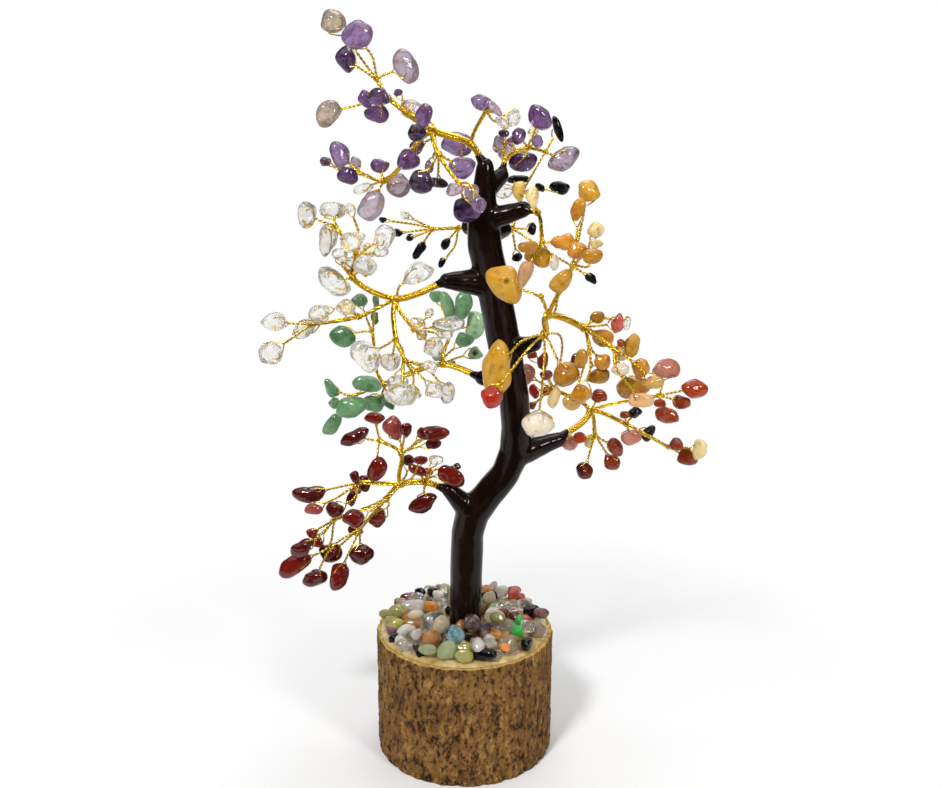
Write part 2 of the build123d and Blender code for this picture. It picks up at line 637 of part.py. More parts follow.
def take_trunk(space):
    """Marks the trunk and its stubs as taken."""
    points, diameters = trunk_line()
    for index in range(len(points) - 1):
        radius = max(diameters[index], diameters[index + 1]) / 2
        space.take(points[index], points[index + 1], radius, WIRE_GAP)
    for branch in BRANCHES:
        if branch.mouth_pixel == TRUNK_TOP_PIXEL:
            continue
        root, way = branch_root(branch)
        heel = place(branch.heel_pixel)
        inner = root - way * (MOUTH_SETBACK + STUB_MOUTH_DIAMETER / 2)
        for step in range(STUB_STEPS):
            share = step / STUB_STEPS
            diameter = TRUNK_DIAMETER * branch.heel_share * (1 - share) + STUB_MOUTH_DIAMETER * share
            start = heel + (inner - heel) * share
            end = heel + (inner - heel) * (step + 1) / STUB_STEPS
            space.take(start, end, diameter / 2, WIRE_GAP)


def knot_places(branch):
    """Returns the place of each knot of a branch by name, with the root under an empty name."""
    places = {"": branch_root(branch)[0]}
    for knot in branch.knots:
        places[knot.name] = place(knot.pixel, knot.depth_share * CROWN_REACH)
    return places


def stem_runs(branch):
    """Returns the runs of a branch's bundle: start, end and diameter."""
    places = knot_places(branch)
    runs = []
    for knot in branch.knots:
        diameter = ARM_DIAMETER if knot.parent else BUNDLE_DIAMETER
        runs.append((places[knot.parent], places[knot.name], diameter))
    return runs


def make_stem(branch):
    """Returns a branch's bundle of wires: root ball, runs and knots in one piece."""
    places = knot_places(branch)
    first = places[branch.knots[0].name] - places[""]
    pieces = [ball(places[""], ROOT_BALL_DIAMETER / 2, first)]
    pieces += [rod(start, end, diameter) for start, end, diameter in stem_runs(branch)]
    pieces += [bead(places[knot.name], KNOT_RADIUS) for knot in branch.knots]
    return joined(pieces)


def take_stem(branch, space):
    """Marks a branch's bundle as taken, and returns the numbers of its knots by name."""
    for start, end, diameter in stem_runs(branch):
        space.take(start, end, diameter / 2, WIRE_GAP)
    places = knot_places(branch)
    numbers = {}
    for knot in branch.knots:
        middle = places[knot.name]
        numbers[knot.name] = space.take(middle, middle, KNOT_RADIUS, KNOT_GAP)
    return numbers


def exit_ways(straight):
    """Returns directions around `straight`, the nearest first, each with its turn in degrees."""
    side = unit(np.cross(straight, UP if abs(straight[2]) < STEEP_SHARE else ACROSS))
    lift = np.cross(side, straight)
    ways = []
    for turn in EXIT_TURNS:
        for step in range(EXIT_WAYS if turn else 1):
            swing = 2 * pi * step / EXIT_WAYS
            aside = side * cos(swing) + lift * sin(swing)
            ways.append((turn, straight * cos(radians(turn)) + aside * sin(radians(turn))))
    return ways


def find_place(knot, knot_place, knot_number, row, seed, space):
    """Returns the chip and twig of one row at the clear place that costs least, or at the clearest one."""
    across, down, long_side, short_side, lean = row[:5]
    scale = CHIP_LENGTH / CHIP_PIXELS
    width = max(min(long_side, short_side) * scale, CHIP_LEAST_WIDTH)
    length = max(long_side * scale, width)
    long_axis = np.array((cos(radians(lean)), 0, sin(radians(lean))))
    near, far = (share * CROWN_REACH for share in knot.window_shares)
    depths = np.arange(near, far, DEPTH_STEP)
    middle = knot.depth_share * CROWN_REACH
    trials = []
    for depth in depths:
        chip = Chip(place((across, down), depth), length, width, long_axis, BACK, seed)
        room = space.room(*chip.capsule(), STONE_GAP)
        cost = abs(depth - middle) / (DEPTH_PER_COST_SHARE * CROWN_REACH)
        for turn, way in exit_ways(unit(chip.centre - knot_place)):
            trials.append((room <= 0, cost + turn / TURN_PER_COST, room, len(trials), chip, way))
    trials.sort(key=lambda trial: trial[:4])
    best = None
    for blocked, _, room, _, chip, way in trials:
        if blocked and best is not None and best[0] > room:
            break
        twig = Twig(knot_place, way, chip)
        lead, tail = (space.room(*run, TWIG_RADIUS, WIRE_GAP, knot_number) for run in twig.runs())
        least = min(room, lead, tail)
        if best is None or least > best[0]:
            best = (least, chip, twig)
        if least > 0:
            break
    if best[0] <= 0:
        print(f"no clear place for {knot.name} {row}: {best[0]:.2f}")
    return best[1], best[2]


def fill_branch(branch, knot_numbers, space):
    """Returns a branch's twigs and its chips by stone, each at a clear place, and marks them as taken."""
    places = knot_places(branch)
    twigs = []
    chips = {}
    for knot in branch.knots:
        for row in knot.chips:
            space.seal()
            chip, twig = find_place(knot, places[knot.name], knot_numbers[knot.name], row, len(twigs), space)
            stone = row[5] if len(row) > 5 else ""
            chips.setdefault(stone, []).append(chip.solid() - twig.drill(chip))
            twigs.append(twig.solid())
            space.take(*chip.capsule(), STONE_GAP)
            for start, end in twig.runs():
                space.take(start, end, TWIG_RADIUS, WIRE_GAP)
    return twigs, chips


class Pile:
    """Keeps the stones laid so far, and measures the room between them and another one."""

    def __init__(self):
        self.stones = []

    def add(self, points, centre, reach):
        """Adds a stone by its corners."""
        self.stones.append((points, *hull_planes(points), centre, reach))

    def room(self, points, planes, centre, reach):
        """Returns the least gap to the stones laid, by the faces of both."""
        normals, offsets = planes
        least = np.inf
        for other, other_normals, other_offsets, other_centre, other_reach in self.stones:
            if np.linalg.norm(centre - other_centre) > reach + other_reach:
                continue
            outside = np.max(np.min(points @ other_normals.T - other_offsets, axis=0))
            inside = np.max(np.min(other @ normals.T - offsets, axis=0))
            least = min(least, max(outside, inside))
        return least


def hull_planes(points):
    """Returns the outward normals and offsets of the faces of a convex set of points."""
    triples = np.array(list(combinations(range(len(points)), 3)))
    corners = points[triples]
    normals = np.cross(corners[:, 1] - corners[:, 0], corners[:, 2] - corners[:, 0])
    normals /= np.linalg.norm(normals, axis=1)[:, None]
    normals *= np.sign(np.einsum("ij,ij->i", normals, corners[:, 0] - points.mean(axis=0)))[:, None]
    offsets = np.einsum("ij,ij->i", normals, corners[:, 0])
    size = np.ptp(points, axis=0).max()
    faces = np.all(points @ normals.T - offsets <= size * np.finfo(np.float32).eps, axis=0)
    return normals[faces], offsets[faces]


def gravel_list():
    """Returns the stones wanted on the log: colour, place, sizes and turn, those that show first."""
    scale = GRAVEL_LENGTH / CHIP_PIXELS
    wanted = []
    for stone, rows in GRAVEL_PIXELS.items():
        for across, down, long_side, short_side, lean in rows:
            spot = place_at_height((across, down), BED_TOP + short_side * scale / 2)
            wanted.append((stone, spot[0], spot[1], long_side * scale, short_side * scale, radians(lean)))
    for index in range(GRAVEL_FILL_COUNT):
        radius = BED_RADIUS * sqrt((index + 1 / 2) / GRAVEL_FILL_COUNT)
        turn = index * GOLDEN_ANGLE
        length = GRAVEL_LENGTH * GRAVEL_FILL_SHARES[index % len(GRAVEL_FILL_SHARES)]
        stone = GRAVEL_FILL_ORDER[index % len(GRAVEL_FILL_ORDER)]
        width = length * GRAVEL_FLATNESS_SHARE
        wanted.append((stone, radius * cos(turn), radius * sin(turn), length, width, turn))
    return wanted


def make_gravel(space):
    """Returns the loose stones on the log by colour, each dropped until it rests, in a heap round the trunk."""
    pile = Pile()
    stones = {}
    space.seal()
    for seed, (stone, across, back, length, width, turn) in enumerate(gravel_list()):
        width = max(width, CHIP_LEAST_WIDTH)
        length = max(length, width)
        off_centre = sqrt(across * across + back * back)
        kept = min(1, (BED_RADIUS - width / 2) / off_centre)
        long_axis = np.array((cos(turn), sin(turn), 0))
        heap = GRAVEL_PILE * (1 - GRAVEL_SLOPE_SHARE * off_centre * kept / BED_RADIUS)
        chip = Chip(np.array((across * kept, back * kept, BED_TOP)), length, width, long_axis, UP, seed)
        points = chip.points()
        normals, offsets = hull_planes(points)
        bottom = points[:, 2].min() - BED_TOP
        resting = None
        for lift in np.arange(heap + width, REST_GAP - bottom, -DROP_STEP):
            shift = UP * lift
            planes = (normals, offsets + normals @ shift)
            start, end, radius = chip.capsule()
            clear = space.room(start + shift, end + shift, radius, WIRE_GAP) > 0
            if not clear or pile.room(points + shift, planes, chip.centre + shift, length) <= REST_GAP:
                break
            resting = shift
        if resting is None or resting[2] + width / 2 > heap:
            continue
        chip.centre = chip.centre + resting
        pile.add(points + resting, chip.centre, length)
        stones.setdefault(stone, []).append(chip.solid())
    return stones


def save(name, solids):
    """Writes one node."""
    solids = list(solids)
    shape = solids[0] if len(solids) == 1 else Compound(solids)
    export_step(shape, os.path.join("parts", f"{name}.step"))


def main():
    """Builds every piece and writes it."""
    os.makedirs("parts", exist_ok=True)
    core, bark = make_log()
    save("log_core", [core])
    save("log_bark", [bark])
    save("glue_bed", [make_glue_bed()])
    save("trunk", make_trunk().solids())
    space = Space()
    take_trunk(space)
    knot_numbers = {branch.name: take_stem(branch, space) for branch in BRANCHES}
    for branch in BRANCHES:
        save(f"{branch.name}_stem", make_stem(branch).solids())
        twigs, chips = fill_branch(branch, knot_numbers[branch.name], space)
        save(f"{branch.name}_twigs", [solid for twig in twigs for solid in twig.solids()])
        for stone, solids in chips.items():
            name = f"{branch.name}_{stone}_chips" if stone else f"{branch.name}_chips"
            save(name, [solid for chip in solids for solid in chip.solids()])
    for stone, solids in make_gravel(space).items():
        save(f"gravel_{stone}", solids)


main()
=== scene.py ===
"""A gemstone wire tree on a log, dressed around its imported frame.

Sizes are in millimetres until a mesh is made.
"""
import json
import logging
from dataclasses import dataclass, field
from enum import Enum
from math import cos, pi, radians, sin
from typing import Sequence

import bmesh
import bpy
import numpy as np
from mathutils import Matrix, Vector, noise
from mathutils.bvhtree import BVHTree

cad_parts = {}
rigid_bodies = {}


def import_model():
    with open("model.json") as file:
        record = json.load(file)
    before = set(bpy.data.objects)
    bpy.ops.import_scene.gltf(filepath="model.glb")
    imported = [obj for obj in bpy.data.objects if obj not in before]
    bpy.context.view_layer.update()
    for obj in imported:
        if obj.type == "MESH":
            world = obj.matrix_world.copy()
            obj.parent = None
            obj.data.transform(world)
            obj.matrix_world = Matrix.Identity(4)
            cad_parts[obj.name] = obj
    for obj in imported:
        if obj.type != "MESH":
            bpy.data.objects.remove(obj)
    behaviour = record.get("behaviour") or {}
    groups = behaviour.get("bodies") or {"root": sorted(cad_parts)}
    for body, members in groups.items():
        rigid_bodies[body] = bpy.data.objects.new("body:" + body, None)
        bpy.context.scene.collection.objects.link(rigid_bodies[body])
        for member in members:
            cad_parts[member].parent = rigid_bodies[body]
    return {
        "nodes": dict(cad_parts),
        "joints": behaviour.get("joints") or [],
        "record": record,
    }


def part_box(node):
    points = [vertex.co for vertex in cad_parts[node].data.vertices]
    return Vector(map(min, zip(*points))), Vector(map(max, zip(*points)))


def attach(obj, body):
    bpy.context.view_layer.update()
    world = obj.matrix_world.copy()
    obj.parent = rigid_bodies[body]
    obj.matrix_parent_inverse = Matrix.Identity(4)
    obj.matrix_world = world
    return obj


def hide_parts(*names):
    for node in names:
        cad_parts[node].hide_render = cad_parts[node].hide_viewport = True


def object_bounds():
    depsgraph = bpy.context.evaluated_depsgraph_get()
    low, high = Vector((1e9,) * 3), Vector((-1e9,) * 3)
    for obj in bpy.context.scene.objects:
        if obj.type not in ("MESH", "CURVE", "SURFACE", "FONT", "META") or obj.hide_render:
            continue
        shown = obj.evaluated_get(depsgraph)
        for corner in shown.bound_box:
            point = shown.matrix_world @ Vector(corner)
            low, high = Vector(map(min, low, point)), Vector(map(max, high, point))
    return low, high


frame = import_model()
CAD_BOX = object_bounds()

LOG = logging.getLogger("gem_tree")
MM = 0.001
Array = np.ndarray
Triple = tuple[float, float, float]
Faces = list[tuple[int, ...]]


class Tone(Enum):
    """The colours of the stones and finishes, as a screen shows them."""

    VIOLET = (0.44, 0.29, 0.49)
    DEEP_VIOLET = (0.27, 0.14, 0.32)
    INK_VIOLET = (0.14, 0.05, 0.14)
    LAVENDER = (0.62, 0.50, 0.68)
    PALE_LILAC = (0.81, 0.75, 0.79)
    SMOKY = (0.58, 0.51, 0.43)
    PALE_SMOKE = (0.82, 0.76, 0.63)
    CLEAR = (0.985, 0.98, 0.965)
    ICE = (0.955, 0.945, 0.925)
    LEAF = (0.43, 0.64, 0.44)
    DEEP_LEAF = (0.20, 0.41, 0.24)
    PALE_LEAF = (0.66, 0.79, 0.62)
    BRICK = (0.41, 0.08, 0.045)
    DARK_BRICK = (0.28, 0.045, 0.03)
    ROSE = (0.62, 0.28, 0.24)
    HONEY = (0.80, 0.58, 0.12)
    ORANGE = (0.93, 0.55, 0.07)
    CREAM = (0.93, 0.85, 0.62)
    OCHRE = (0.66, 0.43, 0.05)
    AMBER = (0.77, 0.49, 0.04)
    BUTTER = (0.88, 0.72, 0.35)
    TAWNY = (0.52, 0.30, 0.03)
    TAN = (0.78, 0.60, 0.32)
    WHITE = (0.90, 0.87, 0.82)
    PEACH = (0.89, 0.68, 0.52)
    RUST = (0.70, 0.24, 0.06)
    BROWN = (0.53, 0.21, 0.09)
    PINK_BROWN = (0.80, 0.54, 0.45)
    CORAL = (0.80, 0.38, 0.32)
    MAROON = (0.27, 0.08, 0.08)
    SCARLET = (0.74, 0.14, 0.09)
    COAL = (0.03, 0.03, 0.035)
    MILK = (0.80, 0.76, 0.74)
    GARNET = (0.42, 0.10, 0.07)
    OLIVE = (0.58, 0.57, 0.26)
    MOSS = (0.60, 0.66, 0.45)
    SKY = (0.64, 0.83, 0.90)
    GRASS = (0.15, 0.72, 0.26)
    MAGENTA = (0.52, 0.20, 0.38)
    CITRON = (0.68, 0.65, 0.28)
    GOLD = (1.0, 0.86, 0.30)
    OLD_GOLD = (0.78, 0.54, 0.10)
    LACQUER = (0.065, 0.028, 0.02)
    LACQUER_STREAK = (0.115, 0.052, 0.036)
    LACQUER_FLECK = (0.03, 0.018, 0.016)
    BARK = (0.50, 0.36, 0.18)
    DARK_BARK = (0.38, 0.25, 0.11)
    # Painted highlight on the bark's ridges and painted shade in its furrows.
    PAINTED_RIDGE_HIGHLIGHT = (0.63, 0.47, 0.26)
    PAINTED_FURROW_SHADE = (0.14, 0.08, 0.03)
    BARK_PIT = (0.13, 0.07, 0.03)
    STRAW = (0.80, 0.67, 0.38)
    DARK_STRAW = (0.62, 0.48, 0.24)
    PALE_WOOD = (0.80, 0.67, 0.42)
    YEAR_RING = (0.62, 0.46, 0.25)
    GLUE = (0.70, 0.58, 0.34)
    PALE_GLUE = (0.84, 0.76, 0.56)
    GLUE_FLECK = (0.42, 0.32, 0.18)

    def linear(self) -> Array:
        """Returns the tone in scene-linear values."""
        return linear(self.value)


def linear(colour: Sequence[float]) -> Array:
    """Turns a screen colour into scene-linear values.

    Args:
        colour: Red, green and blue from 0 to 1.

    Returns:
        The three values for a shader.
    """
    values = np.array(colour, dtype=float)
    return np.where(values <= 0.04045, values / 12.92, ((values + 0.055) / 1.055) ** 2.4)


def unit(vector: Array) -> Array:
    """Returns the vector with a length of one."""
    return vector / max(np.linalg.norm(vector), 1e-9)


@dataclass(frozen=True)
class Viewpoint:
    """The camera's place and angle, which also tell where a point falls in the picture."""

    eye: Triple = (1.9, -347.6, 216.9)
    tilt: float = 15.0
    focal: float = 1124.0
    width: int = 940
    height: int = 788
    sensor: float = 36.0

    def pixel(self, point: Array) -> Array:
        """Projects a point.

        Args:
            point: A place in the row frame.

        Returns:
            Its pixel across and down.
        """
        lean = radians(self.tilt)
        sight = point - np.array(self.eye)
        ahead = sight[1] * cos(lean) - sight[2] * sin(lean)
        above = sight[1] * sin(lean) + sight[2] * cos(lean)
        across = self.width / 2 + self.focal * sight[0] / ahead
        return np.array((across, self.height / 2 - self.focal * above / ahead))


VIEW = Viewpoint()


@dataclass
class Island:
    """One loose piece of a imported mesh."""

    points: Array
    faces: Array

    def planes(self) -> tuple[Array, Array, Array]:
        """Returns each face's outward normal, its offset and its area."""
        corners = self.points[self.faces]
        normals = np.cross(corners[:, 1] - corners[:, 0], corners[:, 2] - corners[:, 0])
        sizes = np.linalg.norm(normals, axis=1)
        normals = normals / np.maximum(sizes, 1e-12)[:, None]
        return normals, np.einsum("ij,ij->i", normals, corners[:, 0]), sizes / 2


def mesh_arrays(node: str, joined: bool = True) -> tuple[Array, Array]:
    """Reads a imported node.

    Args:
        node: The node's name.
        joined: Whether the corners that its faces share are one point each.

    Returns:
        Its points and its triangles.
    """
    mesh = frame["nodes"][node].data
    mesh.calc_loop_triangles()
    points = np.empty(len(mesh.vertices) * 3)
    mesh.vertices.foreach_get("co", points)
    points = points.reshape(-1, 3) / MM
    faces = np.empty(len(mesh.loop_triangles) * 3, dtype=np.int32)
    mesh.loop_triangles.foreach_get("vertices", faces)
    if not joined:
        return points, faces.reshape(-1, 3)
    keys = np.round(points * 1e4).astype(np.int64)
    _, first, inverse = np.unique(keys, axis=0, return_index=True, return_inverse=True)
    return points[first], inverse.reshape(-1)[faces].reshape(-1, 3)


def islands(node: str, joined: bool = True) -> list[Island]:
    """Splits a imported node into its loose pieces, or into its faces.

    Args:
        node: The node's name.
        joined: Whether faces that share corners stay in one piece.

    Returns:
        The pieces, in the order of their first points.
    """
    points, faces = mesh_arrays(node, joined)
    label = np.arange(len(points))
    while True:
        lowest = label[faces].min(axis=1)
        spread = label.copy()
        np.minimum.at(spread, faces.ravel(), np.repeat(lowest, 3))
        spread = spread[spread]
        if np.array_equal(spread, label):
            break
        label = spread
    found = []
    for mark in np.unique(label[faces[:, 0]]):
        members = np.flatnonzero(label == mark)
        number = np.zeros(len(points), dtype=int)
        number[members] = np.arange(len(members))
        found.append(Island(points[members], number[faces[label[faces[:, 0]] == mark]]))
    return found


class MeshParts:
    """Collects the points, faces and tones of one piece."""

    def __init__(self) -> None:
        """Starts with nothing."""
        self.points: list[Array] = []
        self.faces: Faces = []
        self.tones: list[Array] = []
        self.count = 0

    def add(self, points: Array, faces: Sequence[Sequence[int]], tones: Array | None = None) -> None:
        """Adds points and faces.

        Args:
            points: The new points.
            faces: Faces that number these points from 0.
            tones: One vector for all the points, or one for each.
        """
        base = self.count
        self.points.append(points)
        self.faces.extend(tuple(corner + base for corner in face) for face in faces)
        tones = np.zeros(3) if tones is None else tones
        self.tones.append(np.broadcast_to(tones, points.shape))
        self.count += len(points)

    def build(self, name: str, material: bpy.types.Material) -> bpy.types.Object:
        """Makes the piece.

        Args:
            name: The piece's name.
            material: Its finish.

        Returns:
            The new object, at the origin, shaded smooth.
        """
        mesh = bpy.data.meshes.new(name)
        mesh.from_pydata((np.vstack(self.points) * MM).tolist(), [], self.faces)
        tones = mesh.attributes.new("Tone", "FLOAT_VECTOR", "POINT")
        tones.data.foreach_set("vector", np.vstack(self.tones).astype(np.float32).ravel())
        mesh.shade_smooth()
        mesh.materials.append(material)
        piece = bpy.data.objects.new(name, mesh)
        bpy.context.scene.collection.objects.link(piece)
        return piece


def settle(piece: bpy.types.Object, body: str, nodes: Sequence[str]) -> None:
    """Ties a piece to the frame and reports it.

    Args:
        piece: The new piece.
        body: The body that carries it.
        nodes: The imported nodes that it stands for.
    """
    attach(piece, body)
    if nodes:
        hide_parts(*nodes)
    LOG.info("%s rides on %s with %d faces", piece.name, body, len(piece.data.polygons))


def eased(points: Array, rounds: int = 3) -> Array:
    """Rounds the corners of a line of points, and keeps its ends."""
    for _ in range(rounds):
        left = points[:-1] * 0.75 + points[1:] * 0.25
        right = points[:-1] * 0.25 + points[1:] * 0.75
        points = np.vstack((points[:1], np.stack((left, right), axis=1).reshape(-1, 3), points[-1:]))
    return points


def spaced(points: Array, step: float) -> Array:
    """Sets points along a line at an even step."""
    lengths = np.concatenate(((0,), np.cumsum(np.linalg.norm(np.diff(points, axis=0), axis=1))))
    marks = np.linspace(0, lengths[-1], max(int(lengths[-1] / step) + 1, 4))
    return np.column_stack([np.interp(marks, lengths, points[:, axis]) for axis in range(3)])


def travel(points: Array) -> Array:
    """Returns how far along the line each point lies."""
    return np.concatenate(((0,), np.cumsum(np.linalg.norm(np.diff(points, axis=0), axis=1))))


def sides_along(path: Array, side: Array) -> tuple[Array, Array]:
    """Carries a side direction along a path without twist.

    Args:
        path: The points of the path.
        side: A direction across its start.

    Returns:
        Two directions across the path at each point.
    """
    tangents = np.gradient(path, axis=0)
    tangents /= np.maximum(np.linalg.norm(tangents, axis=1), 1e-9)[:, None]
    across = np.empty_like(path)
    for index, tangent in enumerate(tangents):
        side = unit(side - tangent * (side @ tangent))
        across[index] = side
    return across, np.cross(tangents, across)


def crosswise(way: Array) -> Array:
    """Returns a direction across `way`."""
    helper = np.array((0.0, 1.0, 0.0)) if abs(way[1]) < 0.9 else np.array((1.0, 0.0, 0.0))
    return unit(np.cross(way, helper))


def ring_faces(rows: int, columns: int, closed: bool = False) -> Faces:
    """Makes the faces between rings of points.

    Args:
        rows: How many rings there are.
        columns: How many points a ring has.
        closed: Whether the last ring also joins the first.

    Returns:
        Faces of four corners, ring by ring.
    """
    faces: Faces = []
    for row in range(rows if closed else rows - 1):
        here, there = row * columns, (row + 1) % rows * columns
        for column in range(columns):
            beside = (column + 1) % columns
            faces.append((here + column, here + beside, there + beside, there + column))
    return faces


def end_faces(rows: int, columns: int) -> Faces:
    """Returns the faces that close the first and the last ring."""
    return [tuple(range(columns))[::-1], tuple(range((rows - 1) * columns, rows * columns))]


def tube(path: Array, radius: float, sides: int = 6) -> tuple[Array, Faces]:
    """Makes a round tube with closed ends.

    Args:
        path: Its middle line.
        radius: Its radius.
        sides: How many corners its section has.

    Returns:
        Its points and faces.
    """
    across, over = sides_along(path, crosswise(unit(path[1] - path[0])))
    turns = 2 * pi * np.arange(sides) / sides
    rings = path[:, None] + radius * (
        across[:, None] * np.cos(turns)[None, :, None] + over[:, None] * np.sin(turns)[None, :, None]
    )
    return rings.reshape(-1, 3), ring_faces(len(path), sides) + end_faces(len(path), sides)


@dataclass
class StoneForm:
    """A packed stone's faces, rounded into one smooth surface."""

    centre: Array
    normals: Array
    heights: Array
    corners: Array
    roundness: float = 12.0
    stretch: float = 1.4
    bevels: int = 7
    tumbling: int = 5
    fine_lump: float = 0.018
    surface: Array = field(default_factory=lambda: np.zeros((0, 3)))

    @classmethod
    def read(cls, island: Island, flat: float = 0.03) -> "StoneForm":
        """Reads the outer faces of a loose piece.

        Args:
            island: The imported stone.
            flat: How far a corner may stand out of a face.

        Returns:
            The stone's form.
        """
        normals, offsets, areas = island.planes()
        outer = (island.points @ normals.T).max(axis=0) <= offsets + flat
        outer &= areas > 1e-4
        middles = island.points[island.faces].mean(axis=1)
        centre = np.average(middles[outer], axis=0, weights=areas[outer])
        planes = np.column_stack((normals, offsets - normals @ centre))[outer]
        planes = np.unique(np.round(planes, 2), axis=0)
        return cls(centre, planes[:, :3], planes[:, 3], island.points - centre)

    @classmethod
    def loose(cls, centre: Array, size: float, seed: int, sides: int = 12) -> "StoneForm":
        """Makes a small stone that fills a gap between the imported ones.

        Args:
            centre: Its middle.
            size: Half its length.
            seed: Which stone this is.
            sides: How many flats it has.

        Returns:
            The stone's form.
        """
        draw = np.random.default_rng(seed)
        turn = draw.uniform(0, 2 * pi)
        spin = np.array(((cos(turn), -sin(turn), 0.0), (sin(turn), cos(turn), 0.0), (0.0, 0.0, 1.0)))
        corners = BALL_POINTS * (size, size * draw.uniform(0.7, 0.95), size * 0.66) @ spin.T
        normals = BALL_POINTS[:sides] + draw.normal(size=(sides, 3)) * 0.3
        normals /= np.linalg.norm(normals, axis=1)[:, None]
        return cls(centre, normals, (corners @ normals.T).max(axis=0), corners)

    def shape(self, seed: int, fullness: float, lump: float) -> Array:
        """Rounds the stone, bevels it a little at random and fills its packed extents again.

        Args:
            seed: Which stone this is.
            fullness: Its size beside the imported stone's.
            lump: How uneven it is.

        Returns:
            Its surface points about its centre, one for each point of the unit ball.
        """
        draw = np.random.default_rng(seed)
        ways = draw.normal(size=(self.bevels, 3))
        ways /= np.linalg.norm(ways, axis=1)[:, None]
        cuts = (self.corners @ ways.T).max(axis=0) * draw.uniform(0.55, 0.92, self.bevels)
        shares = BALL_POINTS @ np.vstack((self.normals, ways)).T / np.concatenate((self.heights, cuts))
        reach = (np.clip(shares, 0, None) ** self.roundness).sum(axis=1) ** (-1 / self.roundness)
        reach *= 1 + lump * lumps(BALL_POINTS, seed, 1.5, 4.5)
        axes = np.linalg.eigh(np.cov(self.corners.T))[1]
        packed = self.corners @ axes
        rounded = BALL_POINTS * reach[:, None] @ axes
        for _ in range(self.tumbling):
            rounded = (rounded + rounded[BALL_RINGS].mean(axis=1)) / 2
        rounded *= 1 + self.fine_lump * lumps(BALL_POINTS, seed + 7, 6.0, 13.0)[:, None]
        ahead = np.minimum(packed.max(axis=0) / rounded.max(axis=0), self.stretch)
        behind = np.minimum(packed.min(axis=0) / rounded.min(axis=0), self.stretch)
        self.surface = np.where(rounded > 0, ahead, behind) * rounded @ axes.T * fullness
        return self.surface

    def reach(self, way: Array) -> float:
        """Returns how far the surface lies from the centre along a direction."""
        lengths = np.linalg.norm(self.surface, axis=1)
        return float(lengths[np.argmax(self.surface @ way / lengths)])


def sphere(level: int) -> tuple[Array, Faces]:
    """Returns the points and faces of an evenly divided unit ball."""
    grid = bmesh.new()
    bmesh.ops.create_icosphere(grid, subdivisions=level, radius=1)
    points = np.array([vertex.co for vertex in grid.verts])
    faces = [tuple(vertex.index for vertex in face.verts) for face in grid.faces]
    grid.free()
    return points / np.linalg.norm(points, axis=1)[:, None], faces


BALL_POINTS, BALL_FACES = sphere(4)


def ball_rings() -> Array:
    """Returns the numbers of the points round each point of the unit ball, six to a point."""
    rings: list[set[int]] = [set() for _ in BALL_POINTS]
    for face in BALL_FACES:
        for corner in face:
            rings[corner].update(face)
    return np.array([(sorted(ring - {own}) + [own])[:6] for own, ring in enumerate(rings)])


BALL_RINGS = ball_rings()


def lumps(ways: Array, seed: int, low: float, high: float, waves: int = 9) -> Array:
    """Returns a smooth uneven value for each direction.

    Args:
        ways: Unit vectors.
        seed: Which stone this is.
        low: The slowest wave.
        high: The quickest wave.
        waves: How many waves are added.

    Returns:
        Values of about -1 to 1.
    """
    draw = np.random.default_rng(seed)
    total = np.zeros(len(ways))
    for _ in range(waves):
        axis = unit(draw.normal(size=3))
        total += np.cos(ways @ axis * draw.uniform(low, high) + draw.uniform(0, 2 * pi))
    return total / np.sqrt(waves)


class Kit:
    """Makes nodes in one tree with few words."""

    def __init__(self, tree: bpy.types.NodeTree) -> None:
        """Takes the tree to work in."""
        self.tree = tree

    def node(self, kind: str, values: dict | None = None, **settings: object) -> bpy.types.Node:
        """Adds a node.

        Args:
            kind: The node's type.
            values: What each input gets: a socket to link, or a constant.
            settings: Properties of the node.

        Returns:
            The new node.
        """
        made = self.tree.nodes.new(kind)
        for name, value in settings.items():
            setattr(made, name, value)
        for name, value in (values or {}).items():
            self.feed(made.inputs[name], value)
        return made

    def feed(self, socket: bpy.types.NodeSocket, value: object) -> None:
        """Links a socket to another one, or sets its constant."""
        if isinstance(value, bpy.types.NodeSocket):
            self.tree.links.new(value, socket)
        elif socket.type == "RGBA":
            socket.default_value = (*value[:3], 1.0)
        else:
            socket.default_value = value

    def mix(self, share: object, first: object, second: object) -> bpy.types.NodeSocket:
        """Returns a colour mixed from two."""
        made = self.node("ShaderNodeMix", data_type="RGBA")
        for index, value in ((0, share), (6, first), (7, second)):
            self.feed(made.inputs[index], value)
        return made.outputs[2]

    def sums(self, operation: str, first: object, second: object = 0.0) -> bpy.types.NodeSocket:
        """Returns the result of one sum."""
        made = self.node("ShaderNodeMath", operation=operation)
        self.feed(made.inputs[0], first)
        self.feed(made.inputs[1], second)
        return made.outputs[0]

    def span(
        self, value: object, low: float, high: float, out_low: float = 0.0, out_high: float = 1.0
    ) -> bpy.types.NodeSocket:
        """Returns a value moved from one span to another, and held inside it."""
        values = {"Value": value, "From Min": low, "From Max": high, "To Min": out_low, "To Max": out_high}
        return self.node("ShaderNodeMapRange", values).outputs[0]

    def place(self) -> bpy.types.NodeSocket:
        """Returns the piece's own coordinates."""
        return self.node("ShaderNodeTexCoord").outputs["Object"]

    def stretch(self, scale: Triple) -> bpy.types.NodeSocket:
        """Returns the piece's own coordinates, stretched."""
        return self.node("ShaderNodeMapping", {"Vector": self.place(), "Scale": scale}).outputs[0]

    def grain(
        self, vector: object, scale: object, detail: float = 3.0, rough: float = 0.55
    ) -> bpy.types.NodeSocket:
        """Returns a noise value."""
        values = {"Vector": vector, "Scale": scale, "Detail": detail, "Roughness": rough}
        return self.node("ShaderNodeTexNoise", values).outputs["Fac"]


